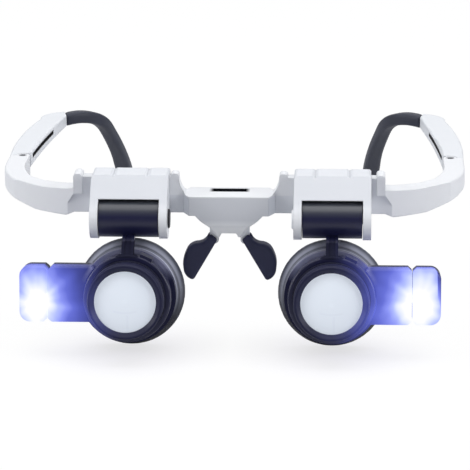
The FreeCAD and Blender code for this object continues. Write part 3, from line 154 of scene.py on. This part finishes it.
class Finish:
    """A procedural material around one Principled shader."""

    def __init__(self, name, **constants):
        self.material = bpy.data.materials.new(f"{name}_finish")
        self.material.use_nodes = True
        self.tree = self.material.node_tree
        self.shader = self.tree.nodes["Principled BSDF"]
        self.shade = None
        self.wear(**constants)

    def feed(self, socket, value):
        if isinstance(value, Wire):
            self.tree.links.new(value.socket, socket)
        else:
            socket.default_value = value

    def wear(self, **sockets):
        """Put values or wires on the shader's own sockets."""
        for key, value in sockets.items():
            self.feed(self.shader.inputs[key.replace("_", " ")], value)
        return self

    def node(self, kind, settings, *values, output=0, **named):
        """Add a node: settings first, then values or wires for its sockets."""
        node = self.tree.nodes.new(kind)
        for key, value in settings.items():
            if key == "stops":
                self.set_stops(node.color_ramp, value)
            else:
                setattr(node, key, value)
        for socket, value in zip(node.inputs, values):
            self.feed(socket, value)
        for key, value in named.items():
            self.feed(node.inputs[key.replace("_", " ")], value)
        return Wire(self, node.outputs[output])

    @staticmethod
    def set_stops(ramp, stops):
        while len(ramp.elements) < len(stops):
            ramp.elements.new(0.5)
        for element, (place, tint) in zip(ramp.elements, stops):
            element.position = place
            element.color = tint

    def mix(self, factor, first, second):
        """Blend two colours."""
        node = self.tree.nodes.new("ShaderNodeMix")
        node.data_type = "RGBA"
        self.feed(node.inputs[MIX_FACTOR], factor)
        self.feed(node.inputs[MIX_FIRST], first)
        self.feed(node.inputs[MIX_SECOND], second)
        return Wire(self, node.outputs[MIX_RESULT])

    def place(self):
        """Position on the piece itself, in metres."""
        return self.node("ShaderNodeTexCoord", {}, output=OBJECT_PLACE)

    def axes(self, centre):
        """Place along X, Y and Z, measured from a centre."""
        away = self.node("ShaderNodeVectorMath", {"operation": "SUBTRACT"}, self.place(), tuple(centre))
        return [self.node("ShaderNodeSeparateXYZ", {}, away, output=axis) for axis in range(3)]

    def noise(self, scale, detail=3.0):
        """Cloudy noise over the piece; a larger scale gives smaller clouds."""
        cloud = {"Scale": scale, "Detail": detail, "Roughness": 0.55}
        return self.node("ShaderNodeTexNoise", {}, Vector=self.place(), **cloud)

    def ripple(self, along, detail):
        """Noise that changes along one measure only, such as a radius or an angle."""
        line = {"noise_dimensions": "1D"}
        return self.node("ShaderNodeTexNoise", line, W=along, Scale=1.0, Detail=detail)

    def bump(self, height, distance, strength=1.0, over=None):
        sockets = {"Height": height, "Distance": distance, "Strength": strength}
        if over:
            sockets["Normal"] = over
        return self.node("ShaderNodeBump", {}, **sockets)

    def soft_edge(self, radius):
        """A normal that rounds sharp edges off in the shading."""
        return self.node("ShaderNodeBevel", {"samples": BEVEL_SAMPLES}, Radius=radius)


print("soft edges take", BEVEL_SAMPLES, "samples")

# %% [markdown]
# Colours are easiest to pick on the 0 to 255 scale of a picture, but shaders work on linear
# light, so each colour is converted once in Python. The finishes then go onto the CAD
# solids by name: those solids already have the right shape and only need a better surface.


# %% Colours and dressing
def colour(red, green, blue):
    """An sRGB colour, 0 to 255, as the linear colour that shaders take."""
    linear = []
    for value in (red, green, blue):
        part = value / 255
        linear.append(part / 12.92 if part <= 0.04045 else ((part + 0.055) / 1.055) ** 2.4)
    return (*linear, 1.0)


def dimmed(tint, share):
    """A colour made darker, or lighter where the share is over 1."""
    return tuple(value * share for value in tint[:3]) + (1.0,)


def dress(finish, *nodes):
    """Give a finish to CAD nodes, on both sides where a node comes as a pair."""
    dressed = 0
    for name in nodes:
        for real in (name, f"{name}_left", f"{name}_right"):
            if real in frame["nodes"]:
                thing = bpy.data.objects[real]
                thing.data.materials.clear()
                thing.data.materials.append(finish.material)
                dressed += 1
    print(finish.material.name, "on", dressed, "pieces")


DARK_INSIDE = colour(24, 25, 32)
BRIGHT = colour(255, 255, 255)
print("white in linear light", [round(value, 2) for value in BRIGHT])

# %% [markdown]
# The frame, temples and clamps are injection-moulded in glossy white. Real white plastic is
# not one colour: it carries a faint mottle, its gloss varies with the mould's polish, and
# every edge has a small radius that catches light. That radius could be cut into the mesh,
# but a normal that rounds the edge in the shading looks the same from this far away.

# %% White moulded plastic
WHITE_EDGE = 0.45 * MM
WHITE_MOTTLE_SCALE = 90.0
WHITE_GRAIN_SCALE = 900.0
WHITE_GRAIN_DEPTH = 0.012 * MM


def white_plastic(name, tint):
    """Glossy white; its mottled colour is kept as shade, so that more can be laid over it."""
    finish = Finish(name, IOR=1.5, Specular_IOR_Level=0.2, Coat_Weight=0.05, Coat_Roughness=0.2)
    mottle = finish.noise(WHITE_MOTTLE_SCALE)
    fine = finish.noise(WHITE_GRAIN_SCALE, detail=2.0)
    finish.shade = finish.mix(mottle, tint, dimmed(tint, 0.95))
    rounded = finish.soft_edge(WHITE_EDGE)
    grain = finish.bump(fine, WHITE_GRAIN_DEPTH, strength=0.5, over=rounded)
    return finish.wear(Base_Color=finish.shade, Roughness=mottle.between(0.28, 0.44), Normal=grain)


dress(white_plastic("temple_white", colour(223, 226, 231)), "temple_arm")

# %% [markdown]
# The clamps are a little greyer than the frame. Their ears face forward, where less light
# falls, and yet look as bright in the photograph, so they get a paler tint. A second finish
# would leave a hard line, so the height on the piece fades one tint into the other.

# %% Clamps
EAR_TOP = 50 * MM
EAR_FADE = 4 * MM

clamp_white = white_plastic("clamp_white", colour(219, 222, 228))
# painted light: a paler tint on the forward-facing ears, which less light reaches
ears = clamp_white.axes((0, 0, 0))[2].short_of(EAR_TOP, EAR_FADE)
clamp_white.wear(Base_Color=clamp_white.mix(ears, clamp_white.shade, colour(238, 240, 244)))
dress(clamp_white, "clamp", "flip_pin_right")

# %% [markdown]
# The frame's bridge gets painted shade, a shade darker than the rest, and its lowest lip gets
# painted light, a paler tint. The slot in the bridge looks black from above, as its walls lie
# in shade. A second finish inside the slot would need faces of its own, so that shade is
# painted dark on the walls by their place on the frame instead.

# %% Frame
SLOT_PLACE = Vector((0.0, -61.17, 0.0)) * MM
SLOT_HALF_LENGTH = 5.7 * MM
SLOT_HALF_WIDTH = 1.8 * MM
BRIDGE_HALF_WIDTH = 19 * MM
BRIDGE_TOP = 49.6 * MM
BRIDGE_FADE = 0.4 * MM
LIP_TOP = 42 * MM
LIP_FADE = 3 * MM

frame_white = white_plastic("frame_white", colour(229, 231, 235))
along, across, height = frame_white.axes(SLOT_PLACE)
# painted shade: the bridge is darkened where less light reaches it
bridge = along.within(BRIDGE_HALF_WIDTH) * height.short_of(BRIDGE_TOP, BRIDGE_FADE)
shade = frame_white.mix(bridge, frame_white.shade, colour(217, 220, 226))
# painted light: the lowest lip gets a paler tint
shade = frame_white.mix(height.short_of(LIP_TOP, LIP_FADE), shade, colour(251, 253, 255))
# painted shade: the slot's walls are painted dark
slot_painted_shade = along.within(SLOT_HALF_LENGTH) * across.within(SLOT_HALF_WIDTH)
frame_white.wear(Base_Color=frame_white.mix(slot_painted_shade, shade, DARK_INSIDE))
dress(frame_white, "front_frame")

# %% [markdown]
# The diode floods the lamp and spills a violet glow over its neighbours. A real light there
# would need many samples and would not reach an exported model. So the glow is an emission
# colour that fades with the distance from the diode, measured on the piece itself, which
# keeps it on the lamp when the lamp turns. Arms, patches and depth break its edge up.

# %% Glow of the lamp
GLOW_REACH = {"left": 28 * MM, "right": 32 * MM}
GLOW_SHIFT = {"left": Vector((0.0, 0.0, 0.9)) * MM, "right": Vector((-1.4, 0.0, 1.9)) * MM}
GLOW_FLAT = 0.5
GLOW_SKIN = 8 * MM
GLOW_FADE = 5 * MM
GLOW_END = 5.2 * MM
END_THINNER = 0.8
ARM_SCALE = 1.7
ARM_SWING = 0.225
PATCH_SCALE = 170.0
PATCH_SWING = 0.12
GLOW_STOPS = [
    (0.0, BRIGHT),
    (0.14, BRIGHT),
    (0.19, colour(224, 232, 255)),
    (0.24, colour(180, 192, 255)),
    (0.3, colour(138, 148, 244)),
    (0.38, colour(100, 110, 212)),
    (0.47, colour(80, 89, 182)),
    (0.57, colour(64, 71, 148)),
    (0.72, colour(40, 44, 96)),
    (0.88, colour(18, 20, 44)),
    (1.0, colour(0, 0, 0)),
]


def glow(finish, side, share):
    """Add one lamp's spill to a finish, at a share of its full strength."""
    low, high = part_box(f"led_{side}")
    centre = (low + high) / 2
    centre.y = low.y
    along, depth, height = finish.axes(centre + GLOW_SHIFT[side])
    distance = (along * along + depth * depth + height * height * GLOW_FLAT) ** 0.5
    turn = finish.node("ShaderNodeMath", {"operation": "ARCTAN2"}, height, along * -SIDES[side])
    arms = finish.ripple(turn * ARM_SCALE, detail=1.0).between(1 - ARM_SWING, 1 + ARM_SWING)
    patches = (finish.noise(PATCH_SCALE, detail=1.0) - 0.5) * PATCH_SWING
    end_face = (along * SIDES[side]).past(GLOW_END, MM)
    sunk = (depth + end_face * (GLOW_SKIN * END_THINNER)).past(GLOW_SKIN, GLOW_FADE)
    reach = (distance / GLOW_REACH[side] * arms + patches + sunk).held()
    stops = [(place, dimmed(tint, share)) for place, tint in GLOW_STOPS]
    spill = finish.node("ShaderNodeValToRGB", {"stops": stops}, reach)
    return finish.wear(Emission_Color=spill, Emission_Strength=1.0)


print("glow reaches", {side: round(reach / MM) for side, reach in GLOW_REACH.items()}, "mm")

# %% [markdown]
# The loupes and lamps are black plastic with a half gloss, which the photograph shows as a
# very dark navy. Each side has its own finish, because each side has its own lamp and the
# glow is measured from it.

# %% Black plastic
BLACK_EDGE = 0.3 * MM
BLACK_CLOUD_SCALE = 140.0
BLACK_GRAIN_SCALE = 1400.0
BLACK_GRAIN_DEPTH = 0.01 * MM
NAVY = colour(20, 22, 58)


def black_plastic(name, tint, rough, coat=0.1):
    """Moulded black plastic with faint clouds and a fine grain; rough is its glossiest."""
    finish = Finish(name, IOR=1.5, Specular_IOR_Level=0.25, Coat_Weight=coat, Coat_Roughness=0.35)
    cloud = finish.noise(BLACK_CLOUD_SCALE)
    fine = finish.noise(BLACK_GRAIN_SCALE, detail=2.0)
    rounded = finish.soft_edge(BLACK_EDGE)
    grain = finish.bump(fine, BLACK_GRAIN_DEPTH, strength=0.6, over=rounded)
    shade = finish.mix(cloud, tint, dimmed(tint, 1.4))
    return finish.wear(Base_Color=shade, Roughness=cloud.between(rough, rough + 0.14), Normal=grain)


for side in SIDES:
    barrel_black = black_plastic(f"barrel_black_{side}", colour(20, 22, 42), 0.5)
    cell_black = black_plastic(f"cell_black_{side}", colour(22, 24, 52), 0.5, coat=0.12)
    dress(glow(barrel_black, side, 0.6), f"barrel_{side}", f"lens_ring_{side}")
    dress(glow(cell_black, side, 1.0), f"lens_cell_{side}")
dress(black_plastic("pin_black", colour(28, 28, 34), 0.45), "flip_pin_left", "switch")
# painted shade: black liners stand in for the shade inside the strap slots of the temples
dress(black_plastic("sleeve_black", colour(16, 16, 20), 0.6), "strap_sleeve")

# %% [markdown]
# A loupe holder is one moulding with three parts: a glossy roller whose upper half also gets a
# painted reflection of the room, a ring, and a matt neck between them that lies in the shade and
# gets painted shade. One finish serves all three. The places of the pin and the ring, read from
# the model, say where each begins.

# %% Loupe holders
NECK_HALF_WIDTH = 3.4 * MM
NECK_PAINTED_SHADE = colour(12, 14, 40)
PAINTED_REFLECTION_GREY = colour(60, 63, 72)
LIT_RISE = 2 * MM
LIT_FADE = 2.5 * MM


def holder_plastic(side):
    """Black plastic: glossy, with a painted reflection, on the roller; matt, with painted shade, on the
    neck.
    """
    low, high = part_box(f"loupe_holder_{side}")
    pin_low, pin_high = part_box(f"flip_pin_{side}")
    ring_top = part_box(f"lens_cell_{side}")[1].z
    roller_foot = pin_low.z + pin_high.z - high.z
    middle = Vector(((low.x + high.x) / 2, low.y, (ring_top + roller_foot) / 2))
    finish = black_plastic(f"holder_black_{side}", NAVY, 0.3)
    across, _, height = finish.axes(middle)
    neck = across.within(NECK_HALF_WIDTH) * height.within((roller_foot - ring_top) / 2)
    axis_height = (pin_low.z + pin_high.z) / 2 - middle.z
    # painted reflection: the roller's upper half gets a lighter grey
    roller = finish.mix(height.past(axis_height + LIT_RISE, LIT_FADE), NAVY, PAINTED_REFLECTION_GREY)
    # painted shade: the neck gets a darker colour, as well as a matt surface
    finish.wear(Base_Color=finish.mix(neck, roller, NECK_PAINTED_SHADE))
    finish.wear(Roughness=neck.between(0.34, 0.84), Coat_Weight=neck.between(0.7, 0.0))
    return glow(finish, side, 1.0)


for side in SIDES:
    dress(holder_plastic(side), f"loupe_holder_{side}")

# %% [markdown]
# The lamp's collar goes round the barrel. The photograph shows a soft pale bloom on its
# upper front. A lamp aimed there would light its neighbours too, so the bloom is painted,
# by the distance from the barrel's axis and by how far up a point lies on the collar.

# %% Lamps
COLLAR_BLOOM = colour(140, 142, 172)
COLLAR_CLOUD_SCALE = 160.0
COLLAR_RIM = 16.5 * MM
COLLAR_FADE = 1 * MM
COLLAR_START = 0.35
COLLAR_SPREAD = 1 / 3


def lamp_plastic(side):
    """Black plastic with a cloudy bloom on the collar's upper front."""
    low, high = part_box(f"barrel_{side}")
    finish = black_plastic(f"lamp_black_{side}", NAVY, 0.3)
    across, _, height = finish.axes((low + high) / 2)
    outward = (across * across + height * height) ** 0.5
    upper = (height / outward).past(COLLAR_START, COLLAR_SPREAD)
    collar = outward.short_of(COLLAR_RIM, COLLAR_FADE) * upper
    cloud = finish.noise(COLLAR_CLOUD_SCALE).between(0.4, 1.2)
    finish.wear(Base_Color=finish.mix((collar * cloud).held(), NAVY, COLLAR_BLOOM))
    return glow(finish, side, 1.0)


for side in SIDES:
    dress(lamp_plastic(side), f"lamp_case_{side}", f"lamp_head_{side}", f"battery_cover_{side}")

# %% [markdown]
# The temple tips, the nose pads and the eyecups are rubber: duller than plastic, with a
# soft sheen and a skin of tiny pores. Pores are far too small to model, so a fine noise
# feeds a bump, which only tilts the light.

# %% Rubber
RUBBER_CLOUD_SCALE = 110.0
PORE_SCALE = 2200.0
PORE_DEPTH = 0.02 * MM


def rubber(name, tint, rough, gloss=0.5):
    """Soft rubber with pores; gloss is the strength of its plain reflection."""
    sheen = {"Sheen_Weight": 0.08, "Sheen_Roughness": 0.5}
    finish = Finish(name, IOR=1.48, Specular_IOR_Level=gloss, Coat_Roughness=0.25, **sheen)
    cloud = finish.noise(RUBBER_CLOUD_SCALE)
    pores = finish.noise(PORE_SCALE, detail=2.0)
    shade = finish.mix(cloud, dimmed(tint, 0.85), dimmed(tint, 1.3))
    finish.wear(Base_Color=shade, Roughness=cloud.between(rough, rough + 0.15))
    return finish.wear(Normal=finish.bump(pores, PORE_DEPTH, strength=0.5))


tip_rubber = rubber("tip_rubber", colour(35, 39, 55), 0.5)
pad_rubber = rubber("pad_rubber", colour(46, 49, 80), 0.5)
print("rubber finishes", tip_rubber.material.name, pad_rubber.material.name)

# %% [markdown]
# The eyecups are glossier rubber, with fine moulded rings about the loupe's axis, and where their
# upper side faces the light they get a pale painted highlight. The rings are too fine and too many
# to cut, so a noise that changes only with the distance from the axis draws them, as streaks in
# that painted highlight.

# %% Eyecup rubber
CUP_DARK = colour(30, 32, 48)
CUP_PAINTED_HIGHLIGHT = colour(222, 226, 246)
CUP_GLOSS = 0.5
CUP_RIM = 17.4 * MM
CUP_RIM_FADE = 1.2 * MM
RIM_SHARE = 0.12
CUP_START = -0.5
CUP_SPREAD = 4 / 3
RING_SCALE = 900
RING_CONTRAST = 2.6
RING_CUT = 0.4


def cup_rubber(side):
    """Glossy rubber with a painted highlight, streaked by rings, that stops short of the rim."""
    low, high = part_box(f"eyecup_{side}")
    finish = rubber(f"eyecup_rubber_{side}", CUP_DARK, 0.2, gloss=0.2)
    across, _, height = finish.axes((low + high) / 2)
    outward = (across * across + height * height) ** 0.5
    rings = finish.ripple(outward * RING_SCALE, detail=2.0)
    upper = (height / outward).past(CUP_START, CUP_SPREAD)
    inner = outward.short_of(CUP_RIM, CUP_RIM_FADE).between(RIM_SHARE, 1.0)
    # painted highlight on the upper side, streaked by the rings
    bloom = upper * inner * (rings * RING_CONTRAST - RING_CUT).held()
    finish.wear(Base_Color=finish.mix(bloom, CUP_DARK, CUP_PAINTED_HIGHLIGHT), Coat_Weight=inner * CUP_GLOSS)
    return glow(finish, side, 0.8)


cups = {side: cup_rubber(side) for side in SIDES}
print("eyecup finishes", [finish.material.name for finish in cups.values()])

# %% [markdown]
# A rubber piece takes its form from the mould and has no sharp edge anywhere. It could be
# modelled again by hand, but its solid already has the right form. So the solid's mesh is
# copied, covered with a fine even skin of small faces and relaxed, which rounds every edge
# as rubber does. The new piece rides on the same body and stands for the solid.


# %% Soft pieces
def remoulded(node, finish, skin, relax):
    """A soft piece with the form of a CAD node, its edges rounded, in place of that node."""
    solid = bpy.data.objects[node]
    piece = bpy.data.objects.new(f"soft_{node}", solid.data.copy())
    bpy.context.collection.objects.link(piece)
    cover = piece.modifiers.new("skin", "REMESH")
    cover.mode = "VOXEL"
    cover.voxel_size = skin
    ease = piece.modifiers.new("relax", "SMOOTH")
    ease.factor = 0.5
    ease.iterations = relax
    bpy.context.view_layer.update()
    shaped = piece.evaluated_get(bpy.context.evaluated_depsgraph_get())
    mesh = bpy.data.meshes.new_from_object(shaped)
    piece.modifiers.clear()
    piece.data = mesh
    mesh.materials.clear()
    mesh.materials.append(finish.material)
    mesh.shade_smooth()
    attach(piece, body_of(solid)[0])
    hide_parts(node)
    print(piece.name, len(mesh.polygons), "faces")
    return piece


CUP_SKIN = 0.34 * MM
TIP_SKIN = 0.4 * MM
PAD_SKIN = 0.3 * MM
for side in SIDES:
    remoulded(f"eyecup_{side}", cups[side], CUP_SKIN, 6)
    remoulded(f"temple_tip_{side}", tip_rubber, TIP_SKIN, 6)
    pad = remoulded(f"nose_pad_{side}", pad_rubber, PAD_SKIN, 8)

# %% [markdown]
# A new loupe's front lens looks pale and even: its film throws the bright room back, and
# light from behind shines through it. Clear glass would show the dark tube instead, so the
# lens gets a pale film that also glows a little. Two faint lines on the film are crossed
# below the middle. The lens at the eye end is plain clear glass.

# %% Lenses
LENS_EDGE = 1.5 * MM
UPRIGHT_AT = Vector((0.8, 0.0, -7.0)) * MM
UPRIGHT_HALF = Vector((0.35, 0.0, 3.0)) * MM
LEVEL_AT = Vector((0.0, 0.0, -3.0)) * MM
LEVEL_HALF = Vector((3.4, 0.0, 0.3)) * MM
LEVEL_CURVE = 30 * MM
LINE_GREY = colour(110, 112, 118)
LINE_SHARE = 0.035
FILM_CLOUD_SCALE = 60.0
CLEAR_CLOUD_SCALE = 80.0
CLEAR_TINT = (0.92, 0.96, 0.98, 1.0)


def lens_film(side):
    """A pale, faintly lit film with two crossed lines."""
    low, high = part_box(f"front_lens_{side}")
    film = Finish(f"lens_film_{side}", IOR=1.45, Specular_IOR_Level=0.2, Emission_Strength=0.5)
    cloud = film.noise(FILM_CLOUD_SCALE, detail=1.0)
    pale = film.mix(cloud, colour(214, 221, 231), colour(222, 229, 238))
    along, _, height = film.axes((low + high) / 2)
    upright = (along - UPRIGHT_AT.x).within(UPRIGHT_HALF.x)
    upright = upright * (height - UPRIGHT_AT.z).within(UPRIGHT_HALF.z)
    bowed = height - LEVEL_AT.z - along * along / LEVEL_CURVE
    level = bowed.within(LEVEL_HALF.z) * along.within(LEVEL_HALF.x)
    shade = film.mix((upright + level).held() * LINE_SHARE, pale, LINE_GREY)
    film.wear(Base_Color=film.mix(0.3, shade, DARK_INSIDE), Emission_Color=shade)
    return film.wear(Roughness=cloud.between(0.3, 0.4), Normal=film.soft_edge(LENS_EDGE))


for side in SIDES:
    dress(lens_film(side), f"front_lens_{side}")
clear = Finish("clear_glass", IOR=1.5, Transmission_Weight=1.0, Base_Color=CLEAR_TINT)
clear.wear(Roughness=clear.noise(CLEAR_CLOUD_SCALE).between(0.01, 0.04))
clear.wear(Normal=clear.soft_edge(LENS_EDGE))
dress(clear, "eye_lens")

# %% [markdown]
# The diode is lit, and the plated reflector around it is flooded with its light. A strong
# emission on both is enough for the glare of the photograph: their colour is nearly white,
# and the plating is brushed metal below its own glow.

# %% Diode and reflector
COOL_WHITE = colour(245, 247, 255)
LIT_CLOUD_SCALE = 300.0
BRUSH_SCALE = 1200.0


def metal(name, tint, rough, **constants):
    """Brushed metal: fine noise moves its colour and its roughness together."""
    finish = Finish(name, Metallic=1.0, **constants)
    brushed = finish.noise(BRUSH_SCALE, detail=2.0)
    shade = finish.mix(brushed, tint, dimmed(tint, 0.8))
    return finish.wear(Base_Color=shade, Roughness=brushed.between(rough, rough + 0.12))


lit = Finish("diode_lit", Base_Color=COOL_WHITE, Emission_Strength=6.0, Roughness=0.2)
lit.wear(Emission_Color=lit.mix(lit.noise(LIT_CLOUD_SCALE), colour(236, 240, 255), BRIGHT))
dress(lit, "led")
flooded = metal("plated_reflector", colour(225, 228, 235), 0.08, Emission_Strength=0.95)
spill = flooded.mix(flooded.noise(LIT_CLOUD_SCALE), colour(240, 244, 255), BRIGHT)
dress(flooded.wear(Emission_Color=spill), "led_reflector")

# %% [markdown]
# The screws and pins are dull steel, and the springs, the contacts and the cells are
# brighter. The same brushed finish serves them all, with another tint and polish.

# %% Small metal parts
dress(metal("screw_steel", colour(112, 114, 120), 0.32), "hinge_screws", "nose_pad_pins")
dress(metal("spring_steel", colour(205, 205, 208), 0.22), "clamp_spring", "cell_contact")
dress(metal("cell_steel", colour(210, 210, 212), 0.2), "button_cells")

# %% [markdown]
# The object stands on a white table that runs on behind it. More lamps could make the table
# white, but they would also bleach the object. So the floor mostly shines white by itself for the
# camera alone; under the loupes it lets the real shadow through and has a violet painted shadow.

# %% Floor
FLOOR_REACH = 6.0
LOUPE_FOOT = Vector((0.85, -80.0, 0.0)) * MM
LOUPE_OUT = 33.2 * MM
SHADOW_REACH = 38 * MM
SHINE = 0.94
SHADOW_SHINE = 0.66
CAMERA_RAY = 0

corners = [(x * FLOOR_REACH, y * FLOOR_REACH, 0) for x, y in ((-1, -1), (1, -1), (1, 1), (-1, 1))]
floor_mesh = bpy.data.meshes.new("floor")
floor_mesh.from_pydata(corners, [], [(0, 1, 2, 3)])
floor = bpy.data.objects.new("floor", floor_mesh)
bpy.context.collection.objects.link(floor)
paper = Finish("paper", Roughness=0.9, Specular_IOR_Level=0.1)
across, ahead, _ = paper.axes(LOUPE_FOOT)
beside = across.maths("ABSOLUTE", across) - LOUPE_OUT
under = (beside * beside + ahead * ahead) ** 0.5
under = (1 - under / SHADOW_REACH).held()
# painted shadow: the floor's colour turns violet grey under the loupes
floor_painted_shadow = paper.mix(under, colour(254, 254, 255), colour(226, 220, 252))
seen = paper.node("ShaderNodeLightPath", {}, output=CAMERA_RAY)
paper.wear(Base_Color=paper.mix(seen, colour(200, 201, 205), floor_painted_shadow))
plain = paper.node("ShaderNodeEmission", {}, Color=BRIGHT, Strength=1.0)
painted = Wire(paper, paper.shader.outputs[0])
share = seen * under.between(SHINE, SHADOW_SHINE)
blend = paper.node("ShaderNodeMixShader", {}, share, painted, plain)
paper.feed(paper.tree.nodes["Material Output"].inputs[0], blend)
floor_mesh.materials.append(paper.material)
print("floor", 2 * FLOOR_REACH, "m wide with", len(paper.tree.nodes), "nodes in its paper")

# %% [markdown]
# The light is a plain photo studio's: a wide soft box overhead, a weaker one on each side,
# which lights the swept ends of the frame more than its bridge, and a weak one behind. Large
# lamps give soft shadows, and their power stays low so that the white plastic isn't bleached.


# %% Lights
def soft_box(name, place, aim, size, power):
    """A rectangular lamp that looks at a point."""
    lamp = bpy.data.lights.new(name, "AREA")
    lamp.shape = "RECTANGLE"
    lamp.size, lamp.size_y = size
    lamp.energy = power
    thing = bpy.data.objects.new(name, lamp)
    bpy.context.collection.objects.link(thing)
    thing.location = place
    thing.rotation_euler = (Vector(aim) - Vector(place)).to_track_quat("-Z", "Y").to_euler()
    print(name, "soft box", power, "W")


soft_box("overhead", place=(0.0, 0.05, 0.95), aim=(0, -0.05, 0.03), size=(1.4, 1.0), power=9.2)
soft_box("left", place=(-1.05, -0.42, 0.5), aim=(0, -0.08, 0.03), size=(0.6, 0.5), power=6.2)
soft_box("right", place=(1.05, -0.42, 0.5), aim=(0, -0.08, 0.03), size=(0.6, 0.5), power=6.8)
soft_box("rear", place=(0.0, 1.1, 0.6), aim=(0, -0.1, 0.04), size=(1.4, 0.5), power=2.2)

# %% [markdown]
# The room around is white where the camera sees it and dim for everything else, so that the
# white beyond the floor's edge adds no light to the object.

# %% Room
ROOM_TINT = (0.95, 0.96, 1.0, 1.0)
ROOM_LIGHT = 0.18

world = bpy.data.worlds.new("room")
bpy.context.scene.world = world
world.use_nodes = True
room = world.node_tree
dim = room.nodes["Background"]
dim.inputs["Color"].default_value = ROOM_TINT
dim.inputs["Strength"].default_value = ROOM_LIGHT
white = room.nodes.new("ShaderNodeBackground")
white.inputs["Color"].default_value = BRIGHT
path = room.nodes.new("ShaderNodeLightPath")
either = room.nodes.new("ShaderNodeMixShader")
room.links.new(path.outputs[CAMERA_RAY], either.inputs[0])
room.links.new(dim.outputs[0], either.inputs[1])
room.links.new(white.outputs[0], either.inputs[2])
room.links.new(either.outputs[0], room.nodes["World Output"].inputs[0])
print("room light", ROOM_LIGHT)

# %% [markdown]
# The camera was fitted to the photograph: about 0.86 m in front, a little to the right,
# looking down by sixteen and a half degrees through a long lens. Its three angles are
# turned into the directions ahead, right and up, which make the columns of its matrix.

# %% Camera
CAMERA_PLACE = Vector((38.18, -855.14, 270.65)) * MM
YAW, PITCH, ROLL = -0.046, -0.289, -0.005
FOCAL_PIXELS, PHOTO_PIXELS = 2491.2, 470
SENSOR = 36

ahead = Vector((math.sin(YAW) * math.cos(PITCH), math.cos(YAW) * math.cos(PITCH), math.sin(PITCH)))
right = Vector((math.cos(YAW), -math.sin(YAW), 0))
up = right.cross(ahead)
turned_right = right * math.cos(ROLL) + up * math.sin(ROLL)
turned_up = up * math.cos(ROLL) - right * math.sin(ROLL)
camera_data = bpy.data.cameras.new("camera")
camera_data.sensor_width = SENSOR
camera_data.lens = FOCAL_PIXELS / PHOTO_PIXELS * SENSOR
camera = bpy.data.objects.new("camera", camera_data)
bpy.context.collection.objects.link(camera)
turn = Matrix((turned_right, turned_up, -ahead)).transposed().to_4x4()
camera.matrix_world = Matrix.Translation(CAMERA_PLACE) @ turn
bpy.context.scene.camera = camera
bpy.context.scene.view_settings.view_transform = "Standard"
print("lens", round(camera_data.lens, 1), "mm")
